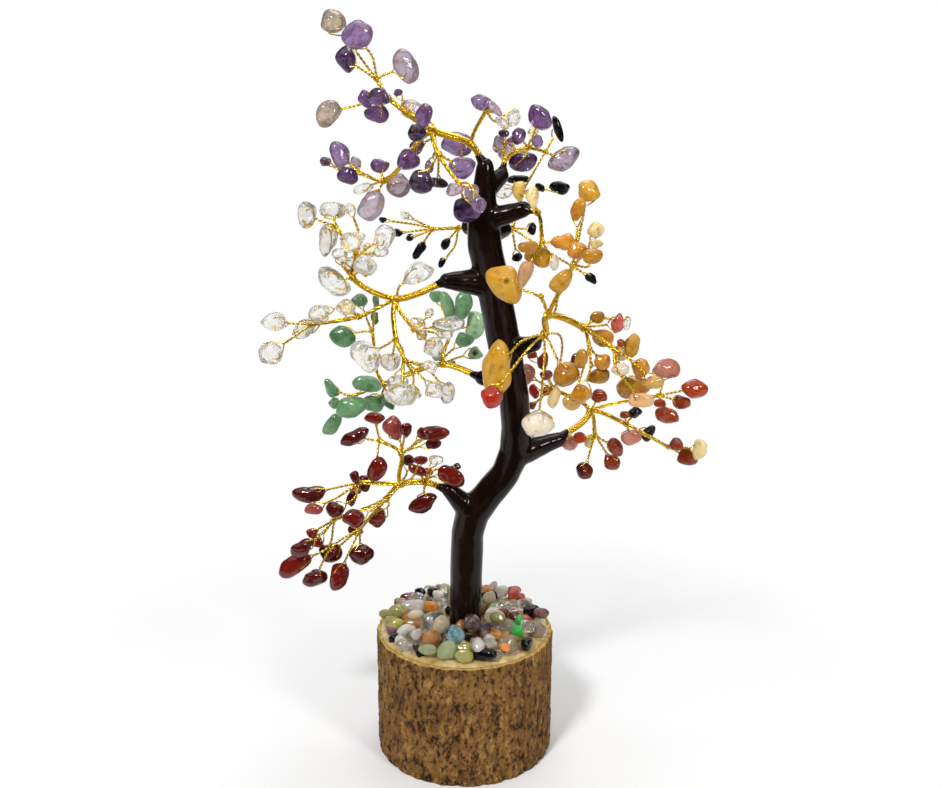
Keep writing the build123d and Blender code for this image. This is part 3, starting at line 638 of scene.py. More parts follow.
class Effect:
    """A shader node group that several finishes share."""

    def __init__(self, name: str, inputs: dict[str, tuple[str, object]], outputs: dict[str, str]) -> None:
        """Makes an empty group.

        Args:
            name: The group's name.
            inputs: Each input's kind and default.
            outputs: Each output's kind.
        """
        self.tree = bpy.data.node_groups.new(name, "ShaderNodeTree")
        for label, (kind, default) in inputs.items():
            socket = self.tree.interface.new_socket(label, in_out="INPUT", socket_type=kind)
            socket.default_value = default
        for label, kind in outputs.items():
            self.tree.interface.new_socket(label, in_out="OUTPUT", socket_type=kind)
        self.kit = Kit(self.tree)
        self.source = self.kit.node("NodeGroupInput").outputs
        self.sink = self.kit.node("NodeGroupOutput").inputs

    def use(self, kit: Kit, **values: object) -> bpy.types.Node:
        """Places the group in a material.

        Args:
            kit: The material's nodes.
            values: What each input gets, with spaces written as underscores.

        Returns:
            The group's node.
        """
        made = kit.node("ShaderNodeGroup", node_tree=self.tree)
        for name, value in values.items():
            kit.feed(made.inputs[name.replace("_", " ")], value)
        return made


COLOUR_SOCKET = "NodeSocketColor"
VALUE_SOCKET = "NodeSocketFloat"
WHITE = (1.0, 1.0, 1.0, 1.0)


def make_clouds() -> Effect:
    """Builds the soft cloudy colour that runs through a stone."""
    effect = Effect(
        "Stone clouds",
        {
            "Tone": (COLOUR_SOCKET, WHITE), "Vein": (COLOUR_SOCKET, WHITE),
            "Scale": (VALUE_SOCKET, 300.0), "Contrast": (VALUE_SOCKET, 0.5),
        },
        {"Color": COLOUR_SOCKET, "Cloud": VALUE_SOCKET},
    )
    kit, source = effect.kit, effect.source
    cloud = kit.span(kit.grain(kit.place(), source["Scale"], 4.0, 0.6), 0.38, 0.66)
    kit.feed(effect.sink["Cloud"], cloud)
    share = kit.sums("MULTIPLY", cloud, source["Contrast"])
    kit.feed(effect.sink["Color"], kit.mix(share, source["Tone"], source["Vein"]))
    return effect


def make_flecks() -> Effect:
    """Builds small flecks and hairline cracks inside a stone."""
    effect = Effect(
        "Stone flecks",
        {
            "Color": (COLOUR_SOCKET, WHITE), "Fleck": (COLOUR_SOCKET, WHITE),
            "Scale": (VALUE_SOCKET, 900.0), "Amount": (VALUE_SOCKET, 0.3), "Cracks": (VALUE_SOCKET, 0.1),
        },
        {"Color": COLOUR_SOCKET, "Mask": VALUE_SOCKET},
    )
    kit, source = effect.kit, effect.source
    spots = kit.span(kit.grain(kit.place(), source["Scale"], 2.0, 0.5), 0.56, 0.68)
    values = {"Vector": kit.place(), "Scale": source["Scale"]}
    cells = kit.node("ShaderNodeTexVoronoi", values, feature="DISTANCE_TO_EDGE").outputs["Distance"]
    cracks = kit.sums("MULTIPLY", kit.span(cells, 0.0, 0.06, 1.0, 0.0), source["Cracks"])
    mask = kit.sums("MULTIPLY", kit.sums("MAXIMUM", spots, cracks), source["Amount"])
    kit.feed(effect.sink["Mask"], mask)
    kit.feed(effect.sink["Color"], kit.mix(mask, source["Color"], source["Fleck"]))
    return effect


def make_polish() -> Effect:
    """Builds the uneven polish of a surface: its roughness and its fine height."""
    effect = Effect(
        "Uneven polish",
        {"Smooth": (VALUE_SOCKET, 0.1), "Rough": (VALUE_SOCKET, 0.3), "Scale": (VALUE_SOCKET, 500.0)},
        {"Roughness": VALUE_SOCKET, "Height": VALUE_SOCKET},
    )
    kit, source = effect.kit, effect.source
    value = kit.grain(kit.place(), source["Scale"], 3.0, 0.6)
    mixed = kit.node("ShaderNodeMix", data_type="FLOAT")
    for index, given in ((0, kit.span(value, 0.35, 0.68)), (2, source["Smooth"]), (3, source["Rough"])):
        kit.feed(mixed.inputs[index], given)
    kit.feed(effect.sink["Roughness"], mixed.outputs[0])
    kit.feed(effect.sink["Height"], value)
    return effect


class Effects:
    """The shared effects, built once."""

    def __init__(self) -> None:
        """Builds each group."""
        self.clouds = make_clouds()
        self.flecks = make_flecks()
        self.polish = make_polish()


def blank(name: str) -> tuple[bpy.types.Material, Kit, bpy.types.Node]:
    """Starts a material.

    Args:
        name: The material's name.

    Returns:
        The material, its nodes and its main shader.
    """
    material = bpy.data.materials.new(name)
    material.use_nodes = True
    material.node_tree.nodes.clear()
    kit = Kit(material.node_tree)
    shader = kit.node("ShaderNodeBsdfPrincipled")
    kit.node("ShaderNodeOutputMaterial", {"Surface": shader.outputs[0]})
    return material, kit, shader


def bumped(kit: Kit, height: object, strength: float, distance: float) -> bpy.types.NodeSocket:
    """Returns a normal for a height in millimetres."""
    values = {"Height": height, "Strength": strength, "Distance": distance * MM}
    return kit.node("ShaderNodeBump", values).outputs[0]


def tone_of(kit: Kit) -> bpy.types.NodeSocket:
    """Returns the tone that a piece's points carry."""
    return kit.node("ShaderNodeAttribute", attribute_name="Tone").outputs["Vector"]


def dress(
    kit: Kit, shader: bpy.types.Node, colour: object, polish: bpy.types.Node,
    height: object, strength: float, distance: float,
) -> None:
    """Feeds a material's main shader.

    Args:
        kit: The material's nodes.
        shader: Its main shader.
        colour: Where its colour comes from.
        polish: The polish that gives its roughness.
        height: Where its bumps come from.
        strength: How much of the bumps shows.
        distance: How high they are, in millimetres.
    """
    kit.feed(shader.inputs["Base Color"], colour)
    kit.feed(shader.inputs["Roughness"], polish.outputs["Roughness"])
    kit.feed(shader.inputs["Normal"], bumped(kit, height, strength, distance))


@dataclass(frozen=True)
class StoneFinish:
    """How one kind of stone looks."""

    name: str
    vein: Tone
    fleck: Tone
    # A darker tone mixed in at grazing angles: painted shade on the stone's rims.
    edge: Tone | None = None
    contrast: float = 0.45
    cloud_scale: float = 230.0
    fleck_scale: float = 700.0
    fleck_amount: float = 0.3
    smooth: float = 0.06
    rough: float = 0.22
    transmission: float = 0.0
    bump: float = 0.25
    specular: float = 0.5
    cracks: float = 0.08
    polish_scale: float = 650.0
    bump_depth: float = 0.25
    ior: float = 1.54

    def material(self, effects: Effects) -> bpy.types.Material:
        """Builds the finish.

        Args:
            effects: The shared groups.

        Returns:
            The material.
        """
        material, kit, shader = blank(self.name)
        clouds = effects.clouds.use(
            kit, Tone=tone_of(kit), Vein=self.vein.linear(), Scale=self.cloud_scale, Contrast=self.contrast
        )
        flecks = effects.flecks.use(
            kit, Color=clouds.outputs["Color"], Fleck=self.fleck.linear(),
            Scale=self.fleck_scale, Amount=self.fleck_amount, Cracks=self.cracks,
        )
        colour = flecks.outputs["Color"]
        # Painted shade: Layer Weight darkens the colour towards the edge tone where the surface turns away
        # from the view.
        if self.edge:
            facing = kit.node("ShaderNodeLayerWeight", {"Blend": 0.4}).outputs["Facing"]
            colour = kit.mix(kit.span(facing, 0.25, 0.95, 0.0, 0.75), colour, self.edge.linear())
        polish = effects.polish.use(kit, Smooth=self.smooth, Rough=self.rough, Scale=self.polish_scale)
        dress(kit, shader, colour, polish, polish.outputs["Height"], self.bump, self.bump_depth)
        shader.inputs["IOR"].default_value = self.ior
        shader.inputs["Transmission Weight"].default_value = self.transmission
        shader.inputs["Specular IOR Level"].default_value = self.specular
        return material


class Stone(Enum):
    """The kinds of stone."""

    AMETHYST = StoneFinish(
        # The third tone is painted shade, mixed in at the stone's rims.
        "amethyst", Tone.LAVENDER, Tone.INK_VIOLET, Tone.DEEP_VIOLET,
        contrast=0.45, cloud_scale=160.0, fleck_scale=420.0, fleck_amount=0.4,
        smooth=0.03, rough=0.12, transmission=0.72, bump=0.5, cracks=0.4,
    )
    QUARTZ = StoneFinish(
        # The third tone is painted shade, mixed in at the stone's rims.
        "clear_quartz", Tone.ICE, Tone.SMOKY, Tone.PALE_SMOKE,
        contrast=0.5, cloud_scale=420.0, fleck_scale=520.0, fleck_amount=0.34,
        smooth=0.02, rough=0.1, transmission=0.92, bump=0.9, cracks=0.7,
    )
    GREEN = StoneFinish(
        "green_stone", Tone.PALE_LEAF, Tone.DEEP_LEAF,
        contrast=0.4, cloud_scale=190.0, fleck_scale=420.0, fleck_amount=0.5, transmission=0.25, bump=0.4,
    )
    JASPER = StoneFinish(
        "red_stone", Tone.DARK_BRICK, Tone.MAROON,
        contrast=0.5, cloud_scale=240.0, fleck_scale=420.0, fleck_amount=0.4, smooth=0.04, rough=0.16,
    )
    YELLOW = StoneFinish(
        "yellow_stone", Tone.BUTTER, Tone.TAWNY,
        contrast=0.4, cloud_scale=170.0, fleck_scale=330.0, fleck_amount=0.42,
        smooth=0.04, rough=0.16, transmission=0.2, bump=0.4,
    )
    CARNELIAN = StoneFinish(
        "orange_red_stone", Tone.RUST, Tone.MAROON,
        contrast=0.4, cloud_scale=190.0, fleck_scale=380.0, fleck_amount=0.4,
        smooth=0.04, rough=0.16, transmission=0.3, bump=0.4,
    )
    BLACK = StoneFinish(
        "black_stone", Tone.COAL, Tone.SMOKY,
        contrast=0.3, cloud_scale=300.0, fleck_scale=900.0, fleck_amount=0.05,
        smooth=0.04, rough=0.16, specular=0.3,
    )
    MIXED = StoneFinish(
        "mixed_stone", Tone.MILK, Tone.SMOKY,
        contrast=0.25, cloud_scale=240.0, fleck_scale=600.0, fleck_amount=0.3,
        smooth=0.02, rough=0.1, transmission=0.35,
    )


Spots = dict[Tone, tuple[tuple[int, int], ...]]
AMETHYST_SPOTS: Spots = {
    Tone.PALE_SMOKE: ((333, 21), (327, 113)),
    Tone.LAVENDER: (
        (356, 35), (429, 167), (462, 167), (457, 144), (480, 204), (481, 101), (339, 155), (538, 141),
    ),
    Tone.DEEP_VIOLET: (
        (345, 59), (380, 97), (415, 147), (466, 208), (348, 175), (325, 161), (504, 133), (523, 162),
    ),
    Tone.PALE_LILAC: (
        (405, 67), (412, 109), (455, 190), (472, 192), (495, 109), (399, 187), (371, 205), (356, 165),
        (499, 144), (506, 154), (564, 160),
    ),
    Tone.VIOLET: (
        (366, 99), (377, 115), (424, 115), (408, 161), (380, 166), (519, 136), (540, 117), (511, 142),
    ),
    Tone.INK_VIOLET: ((417, 134), (421, 181), (438, 183)),
}
GREEN_SPOTS: Spots = {
    Tone.PALE_LEAF: ((475, 353), (475, 325)),
    Tone.DEEP_LEAF: ((389, 400), (359, 300), (342, 335), (376, 301), (375, 318)),
}
RED_SPOTS: Spots = {
    Tone.ROSE: ((393, 428), (356, 488), (428, 472), (314, 509)),
    Tone.DARK_BRICK: ((406, 430),),
}
YELLOW_SPOTS: Spots = {
    Tone.ORANGE: ((563, 241),),
    Tone.PEACH: ((524, 274), (642, 400)),
    Tone.HONEY: ((504, 284), (587, 190), (537, 258)),
    Tone.OCHRE: ((598, 317), (599, 377), (634, 388), (590, 256)),
    Tone.WHITE: ((538, 423), (621, 370), (621, 354)),
    Tone.CREAM: ((554, 398), (533, 197), (596, 231), (596, 243)),
    Tone.AMBER: ((603, 361), (603, 339), (581, 394), (640, 367), (579, 208), (574, 252), (528, 247)),
    Tone.TAN: ((572, 402), (654, 382)),
    Tone.CORAL: ((617, 323),),
    Tone.BROWN: ((621, 343),),
    Tone.SCARLET: ((492, 397),),
    Tone.BUTTER: ((518, 190),),
}
CARNELIAN_SPOTS: Spots = {
    Tone.PINK_BROWN: ((666, 370), (631, 436), (570, 444), (526, 375)),
    Tone.RUST: ((695, 388), (672, 414)),
    Tone.BROWN: ((683, 402), (677, 444), (612, 461), (542, 360)),
    Tone.TAN: ((590, 441),),
    Tone.MAROON: ((584, 472), (574, 361)),
    Tone.SCARLET: ((534, 391), (546, 391)),
    Tone.ROSE: ((532, 406), (546, 375)),
    Tone.SMOKY: ((700, 449),),
}
GRAVEL_SPOTS: Spots = {
    Tone.MILK: ((413, 607),),
    Tone.MAGENTA: ((391, 631),),
    Tone.SKY: ((455, 634),),
    Tone.GRASS: ((520, 626),),
    Tone.DEEP_VIOLET: ((483, 626),),
    Tone.PALE_SMOKE: ((530, 600),),
    Tone.PEACH: ((486, 608),),
    Tone.SMOKY: ((537, 627),),
    Tone.CITRON: ((392, 621),),
    Tone.ORANGE: ((485, 588), (502, 653)),
    Tone.AMBER: ((414, 623),),
    Tone.SCARLET: ((525, 617), (518, 591)),
    Tone.WHITE: ((503, 591),),
    Tone.MOSS: ((447, 649),),
}


@dataclass(frozen=True)
class DrillHole:
    """A drilled hole that shows on the front of a stone: a real dent, darkened with painted shade."""

    spots: tuple[tuple[int, int], ...] = ((504, 284), (475, 353))
    way: Triple = (0.1, -0.94, 0.3)
    radius: float = 0.8
    depth: float = 1.7
    near: float = 6.0
    # How dark the painted shade makes the middle of the hole.
    shade: float = 0.97

    def sink(self, centre: Array, points: Array) -> Array:
        """Sinks the hole into a stone and works out the painted shade that darkens it.

        Args:
            centre: The stone's middle.
            points: Its surface about its centre, which is changed where a hole shows.

        Returns:
            How much of its tone each point keeps under the painted shade, from near 0 in the hole to 1.
        """
        pixel = VIEW.pixel(centre)
        if min(np.hypot(*(pixel - spot)) for spot in self.spots) > self.near:
            return np.ones(len(points))
        way = unit(np.array(self.way))
        ahead = points @ way
        aside = np.linalg.norm(points - ahead[:, None] * way, axis=1)
        share = np.where(ahead > 0, np.exp(-((aside / self.radius) ** 4)), 0.0)
        points -= (share * self.depth)[:, None] * way
        # Painted shade: the tone darkens towards the middle of the hole.
        return 1 - self.shade * share


DRILL_HOLE = DrillHole()


@dataclass(frozen=True)
class StoneKind:
    """A finish, the tones that it comes in, and those of the stones that stand out."""

    finish: Stone
    tones: tuple[Tone, ...]
    spots: Spots = field(default_factory=dict)
    fullness: float = 1.08
    lump: float = 0.08
    rise: float = 1.0

    def tone(self, centre: Array, seed: int, near: float = 7.0) -> Array:
        """Chooses a stone's tone.

        Args:
            centre: The stone's middle.
            seed: Which stone this is.
            near: Within how many pixels of a spot it is that spot's stone.

        Returns:
            The tone in scene-linear values, a little lighter or darker from stone to stone.
        """
        draw = np.random.default_rng(seed + 101)
        chosen = self.tones[draw.integers(len(self.tones))]
        pixel = VIEW.pixel(centre)
        for tone, places in self.spots.items():
            gap = min(np.hypot(*(pixel - place)) for place in places)
            if gap < near:
                chosen, near = tone, gap
        return np.clip(chosen.linear() * draw.uniform(0.85, 1.15), 0, 1)


VIOLETS = (Tone.VIOLET, Tone.DEEP_VIOLET, Tone.LAVENDER)
CLEARS = (Tone.CLEAR, Tone.CLEAR, Tone.ICE)
CREAMS = (Tone.CREAM, Tone.WHITE)
YELLOWS = (Tone.HONEY, Tone.AMBER, Tone.HONEY, Tone.OCHRE)
RUSTS = (Tone.RUST, Tone.BROWN, Tone.RUST)
BRICKS = (Tone.BRICK, Tone.BRICK, Tone.DARK_BRICK)
BED = {"lump": 0.05, "rise": 1.4}
KINDS: dict[str, StoneKind] = {
    "clear": StoneKind(Stone.QUARTZ, CLEARS),
    "cream": StoneKind(Stone.YELLOW, CREAMS, YELLOW_SPOTS),
    "red": StoneKind(Stone.CARNELIAN, (Tone.ROSE, Tone.SCARLET), YELLOW_SPOTS),
    "black": StoneKind(Stone.BLACK, (Tone.COAL,)),
    "amethyst": StoneKind(Stone.AMETHYST, VIOLETS, AMETHYST_SPOTS),
    "lilac": StoneKind(Stone.AMETHYST, VIOLETS, AMETHYST_SPOTS),
    "quartz": StoneKind(Stone.QUARTZ, CLEARS, fullness=1.1, lump=0.11),
    "green": StoneKind(Stone.GREEN, (Tone.LEAF,), GREEN_SPOTS, fullness=1.2, lump=0.1),
    "jasper": StoneKind(Stone.JASPER, BRICKS, RED_SPOTS, fullness=1.22, lump=0.12),
    "yellow": StoneKind(Stone.YELLOW, YELLOWS, YELLOW_SPOTS, fullness=1.14, lump=0.1),
    "carnelian": StoneKind(Stone.CARNELIAN, RUSTS, CARNELIAN_SPOTS, fullness=1.14, lump=0.1),
    "gravel_clear": StoneKind(Stone.QUARTZ, (Tone.CLEAR, Tone.ICE, Tone.WHITE), GRAVEL_SPOTS, **BED),
    "gravel_milky": StoneKind(Stone.MIXED, (Tone.MILK, Tone.WHITE), GRAVEL_SPOTS, **BED),
    "gravel_amber": StoneKind(Stone.MIXED, (Tone.AMBER, Tone.OCHRE, Tone.PALE_SMOKE), GRAVEL_SPOTS, **BED),
    "gravel_garnet": StoneKind(Stone.MIXED, (Tone.GARNET, Tone.MAROON, Tone.GARNET), GRAVEL_SPOTS, **BED),
    "gravel_black": StoneKind(Stone.BLACK, (Tone.COAL,), **BED),
    "gravel_olive": StoneKind(Stone.MIXED, (Tone.OLIVE, Tone.CITRON), GRAVEL_SPOTS, **BED),
    "gravel_moss": StoneKind(Stone.MIXED, (Tone.MOSS, Tone.OLIVE), GRAVEL_SPOTS, **BED),
    "gravel_blue": StoneKind(Stone.MIXED, (Tone.SKY,), GRAVEL_SPOTS, **BED),
}
BRANCH_KINDS = {
    "amethyst": "amethyst", "lilac": "lilac", "quartz": "quartz", "green": "green", "red": "jasper",
    "upper_yellow": "yellow", "lower_yellow": "yellow", "carnelian": "carnelian",
    "left_black": "black", "right_black": "black",
}


class Finishes:
    """Every material of the tree, built when it is first asked for."""

    def __init__(self) -> None:
        """Builds the shared effects and the plain finishes."""
        self.effects = Effects()
        self.stones: dict[Stone, bpy.types.Material] = {}
        self.gold = self.make_gold()
        self.lacquer = self.make_lacquer()
        self.bark = self.make_bark()
        self.wood = self.make_wood()
        self.glue = self.make_glue()

    def stone(self, kind: Stone) -> bpy.types.Material:
        """Returns the material of a kind of stone."""
        if kind not in self.stones:
            self.stones[kind] = kind.value.material(self.effects)
        return self.stones[kind]

    def make_gold(self) -> bpy.types.Material:
        """Returns bright gold wire with darker worn stretches."""
        material, kit, shader = blank("gold_wire")
        clouds = self.effects.clouds.use(
            kit, Tone=Tone.GOLD.linear(), Vein=Tone.OLD_GOLD.linear(), Scale=420.0, Contrast=0.6
        )
        polish = self.effects.polish.use(kit, Smooth=0.16, Rough=0.34, Scale=900.0)
        dress(kit, shader, clouds.outputs["Color"], polish, polish.outputs["Height"], 0.2, 0.05)
        shader.inputs["Metallic"].default_value = 1.0
        return material

    def make_lacquer(self) -> bpy.types.Material:
        """Returns the glossy dark brown of the trunk, with faint long streaks."""
        material, kit, shader = blank("dark_lacquer")
        streaks = kit.span(kit.grain(kit.stretch((260.0, 260.0, 28.0)), 1.0, 4.0, 0.6), 0.4, 0.7)
        colour = kit.mix(streaks, Tone.LACQUER.linear(), Tone.LACQUER_STREAK.linear())
        flecks = self.effects.flecks.use(
            kit, Color=colour, Fleck=Tone.LACQUER_FLECK.linear(), Scale=260.0, Amount=0.5
        )
        polish = self.effects.polish.use(kit, Smooth=0.1, Rough=0.22, Scale=260.0)
        dress(kit, shader, flecks.outputs["Color"], polish, streaks, 0.12, 0.3)
        shader.inputs["Specular IOR Level"].default_value = 0.2
        return material

    def make_bark(self) -> bpy.types.Material:
        """Returns rough bark with a painted highlight on its ridges, painted shade in its furrows, and
        straw-coloured wood where it is cut.
        """
        material, kit, shader = blank("bark")
        given = kit.node("ShaderNodeSeparateXYZ", {"Vector": tone_of(kit)})
        ridge, cut = given.outputs["X"], given.outputs["Y"]
        patches = kit.span(kit.grain(kit.place(), 120.0, 4.0), 0.35, 0.7)
        body = kit.mix(patches, Tone.BARK.linear(), Tone.DARK_BARK.linear())
        # Painted highlight on the ridges and painted shade in the furrows, both from the bark's height.
        colour = kit.mix(kit.span(ridge, 0.6, 1.0), body, Tone.PAINTED_RIDGE_HIGHLIGHT.linear())
        colour = kit.mix(kit.span(ridge, 0.48, 0.18), colour, Tone.PAINTED_FURROW_SHADE.linear())
        pits = kit.span(kit.grain(kit.stretch((700.0, 700.0, 420.0)), 1.0, 3.0, 0.7), 0.53, 0.61)
        colour = kit.mix(kit.sums("MULTIPLY", pits, 0.85), colour, Tone.BARK_PIT.linear())
        fibres = kit.span(kit.grain(kit.place(), 700.0, 3.0), 0.35, 0.7)
        straw = kit.mix(fibres, Tone.STRAW.linear(), Tone.DARK_STRAW.linear())
        polish = self.effects.polish.use(kit, Smooth=0.7, Rough=0.95, Scale=900.0)
        dress(kit, shader, kit.mix(cut, colour, straw), polish, polish.outputs["Height"], 0.6, 0.35)
        shader.inputs["Specular IOR Level"].default_value = 0.2
        return material

    def make_wood(self) -> bpy.types.Material:
        """Returns the sawn wood of the log's core, with its year rings."""
        material, kit, shader = blank("sawn_wood")
        rings = kit.node(
            "ShaderNodeTexWave", {"Vector": kit.place(), "Scale": 150.0, "Distortion": 2.5, "Detail": 3.0},
            wave_type="RINGS", rings_direction="Z",
        ).outputs["Fac"]
        colour = kit.mix(rings, Tone.PALE_WOOD.linear(), Tone.YEAR_RING.linear())
        polish = self.effects.polish.use(kit, Smooth=0.55, Rough=0.85, Scale=500.0)
        dress(kit, shader, colour, polish, rings, 0.3, 0.2)
        return material

    def make_glue(self) -> bpy.types.Material:
        """Returns the clear glue, tinted by the wood under it and by small bubbles."""
        material, kit, shader = blank("clear_glue")
        clouds = self.effects.clouds.use(
            kit, Tone=Tone.GLUE.linear(), Vein=Tone.PALE_GLUE.linear(), Scale=260.0, Contrast=0.8
        )
        flecks = self.effects.flecks.use(
            kit, Color=clouds.outputs["Color"], Fleck=Tone.GLUE_FLECK.linear(), Scale=420.0, Amount=0.5
        )
        polish = self.effects.polish.use(kit, Smooth=0.05, Rough=0.3, Scale=320.0)
        dress(kit, shader, flecks.outputs["Color"], polish, polish.outputs["Height"], 0.5, 0.4)
        return material


@dataclass
class Log:
    """The log base: bark, sawn core and glue."""

    rows: int = 112
    columns: int = 480
    rib_share: float = 0.6
    furrow: float = 0.75
    wander: float = 0.05
    slow_waves: Triple = (0.11, 0.11, 0.05)
    furrow_waves: Triple = (0.62, 0.62, 0.24)
    grain_waves: Triple = (1.25, 1.25, 0.75)
    rim_drop: float = 0.5
    rim_slope: float = 0.7
    rim_share: float = 0.35
    glue_wave: float = 0.45
    glue_hole: float = 4.6
    glue_rings: int = 26
    glue_columns: int = 96

    def build(self, finishes: Finishes) -> None:
        """Builds the pieces of the log.

        Args:
            finishes: The materials.
        """
        self.build_bark(finishes.bark)
        self.build_glue(finishes.glue)
        core = frame["nodes"]["log_core"]
        core.data.materials.clear()
        core.data.materials.append(finishes.wood)

    def ridge(self, place: Array) -> float:
        """Returns the height of the bark at a place on it, from 0 in a furrow to 1 on a ridge."""
        slow = noise.fractal(Vector(place * self.slow_waves), 1.0, 2.0, 3)
        furrows = noise.noise(Vector(place * self.furrow_waves))
        grains = noise.fractal(Vector(place * self.grain_waves), 0.8, 2.0, 3)
        return float(np.clip(0.55 + 0.22 * slow + 0.42 * furrows + 0.34 * grains, 0, 1))

    def build_bark(self, material: bpy.types.Material) -> None:
        """Builds the bark as one closed sleeve with furrows."""
        low, high = (np.array(corner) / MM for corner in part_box("log_bark"))
        radius = (high[0] - low[0]) / 2
        core = (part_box("log_core")[1][0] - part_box("log_core")[0][0]) / MM / 2
        parts = MeshParts()
        turns = 2 * pi * np.arange(self.columns) / self.columns
        circle = np.column_stack((np.cos(turns), np.sin(turns)))
        packed, _ = mesh_arrays("log_bark")
        packed = packed[np.hypot(packed[:, 0], packed[:, 1]) > core + 0.5]
        angles, reaches = np.arctan2(packed[:, 1], packed[:, 0]), np.hypot(packed[:, 0], packed[:, 1])
        order = np.argsort(angles)
        angles, reaches = angles[order], reaches[order]
        rings, tones = [], []
        for height in np.linspace(low[2], high[2], self.rows):
            ring, tone = [], []
            from_edge = min(height - low[2], high[2] - height)
            for turn, (across, back) in zip(turns, circle):
                place = np.array((across * radius, back * radius, height))
                ridge = self.ridge(place)
                chamfer = max(0.0, self.rim_drop - from_edge) * self.rim_slope
                sway = self.wander * noise.noise(Vector(place * 0.09))
                rib = np.interp(turn + sway, angles, reaches, period=2 * pi)
                reach = radius - (radius - rib) * self.rib_share - self.furrow * (1 - ridge) - chamfer
                ring.append((across * reach, back * reach, height))
                # X is the bark's height, which paints highlight on ridges and shade in furrows; Y marks the
                # cut top.
                tone.append((ridge, 1.0 if height == high[2] else 0.0, 0.0))
            rings.append(ring)
            tones.append(tone)
        middle = core + (radius - core) * self.rim_share
        for height, drop, reaches in (
            (high[2], self.rim_drop * 0.5, (middle, core)), (low[2], 0.0, (core, middle)),
        ):
            for reach in reaches:
                ring = []
                for across, back in circle * reach:
                    uneven = noise.noise(Vector((across * 0.3, back * 0.3, height)))
                    ring.append((across, back, height - drop * (0.5 + 0.5 * uneven)))
                rings.append(ring)
                tones.append([(0.6, 1.0, 0.0)] * self.columns)
        faces = ring_faces(len(rings), self.columns, closed=True)
        parts.add(np.array(rings).reshape(-1, 3), faces, np.array(tones).reshape(-1, 3))
        settle(parts.build("bark_sleeve", material), "stand", ["log_bark"])

    def build_glue(self, material: bpy.types.Material) -> None:
        """Builds the glue as a wavy skin round the trunk that falls away at its outer rim."""
        low, high = (np.array(corner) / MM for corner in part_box("glue_bed"))
        middle = (low + high) / 2
        radius = (high[0] - low[0]) / 2
        turns = 2 * pi * np.arange(self.glue_columns) / self.glue_columns
        circle = np.column_stack((np.cos(turns), np.sin(turns)))
        inner, outer = TRUNK_FOOT + self.glue_hole * circle, middle[:2] + radius * circle
        points = []
        for share in np.arange(self.glue_rings) / (self.glue_rings - 1):
            for across, back in inner + (outer - inner) * share:
                wave = noise.fractal(Vector((across * 0.22, back * 0.22, 0.0)), 1.0, 2.0, 3)
                edge = (max(share - 0.9, 0) / 0.1) ** 2
                height = high[2] - self.glue_wave * (0.5 - 0.5 * wave) - edge * (high[2] - low[2]) * 0.9
                points.append((across, back, max(height, low[2])))
        points.extend((across, back, low[2]) for across, back in np.vstack((outer, inner)))
        rings = ring_faces(self.glue_rings + 2, self.glue_columns, closed=True)
        parts = MeshParts()
        parts.add(np.array(points), [(first, last, third, second) for first, second, third, last in rings])
        settle(parts.build("glue_skin", material), "stand", ["glue_bed"])


def trunk_foot() -> Array:
    """Returns where the trunk's foot stands, across and back."""
    points, _ = mesh_arrays("trunk")
    lowest = points[points[:, 2] < points[:, 2].min() + 0.1]
    return (lowest.min(axis=0) + lowest.max(axis=0))[:2] / 2


TRUNK_FOOT = trunk_foot()


@dataclass
class Trunk:
    """The moulded trunk, its joints with the stubs softened."""

    voxel: float = 0.42
    tip: float = 2.3
    smoothing: int = 26
    swell: float = 0.3
    streak: float = 0.1

    def build(self, finishes: Finishes) -> None:
        """Builds the trunk.

        Args:
            finishes: The materials.
        """
        whole = MeshParts()
        whole.add(*mesh_arrays("trunk"))
        for joint in frame["joints"]:
            whole.add(np.array(joint["pos_m"]) / MM + BALL_POINTS * self.tip, BALL_FACES)
        rough = bpy.data.meshes.new("trunk_rough")
        rough.from_pydata((np.vstack(whole.points) * MM).tolist(), [], whole.faces)
        holder = bpy.data.objects.new("trunk_rough", rough)
        bpy.context.scene.collection.objects.link(holder)
        remesh = holder.modifiers.new("even", "REMESH")
        remesh.mode = "VOXEL"
        remesh.voxel_size = self.voxel * MM
        smooth = holder.modifiers.new("soft", "SMOOTH")
        smooth.factor = 0.5
        smooth.iterations = self.smoothing
        bpy.context.view_layer.update()
        shaped = bpy.data.meshes.new_from_object(holder.evaluated_get(bpy.context.evaluated_depsgraph_get()))
        bpy.data.objects.remove(holder)
        places = np.array([vertex.co for vertex in shaped.vertices]) / MM
        normals = np.array([vertex.normal for vertex in shaped.vertices])
        low, high = (np.array(corner) / MM for corner in CAD_BOX)
        low[2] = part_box("trunk")[0][2] / MM
        for index, place in enumerate(places):
            ripple = noise.fractal(Vector(place * (0.3, 0.3, 0.06)), 1.0, 2.0, 2)
            knobs = noise.noise(Vector(place * (0.2, 0.2, 0.13)))
            places[index] = place + normals[index] * (self.swell + self.streak * ripple + 0.2 * knobs)
        parts = MeshParts()
        parts.add(np.clip(places, low, high), [tuple(face.vertices) for face in shaped.polygons])
        settle(parts.build("trunk_moulding", finishes.lacquer), "stand", ["trunk"])


@dataclass
class Twig:
    """A packed twig: its knot, its bend and the stone that it carries."""

    knot: Array
    way: Array
    bend: Array
    end: Array


@dataclass
class Split:
    """A place where a bundle splits: its parent, its twigs and how many stones hang on it in all."""

    place: Array
    parent: int = -1
    twigs: list[Twig] = field(default_factory=list)
    children: list[int] = field(default_factory=list)
    load: int = 0


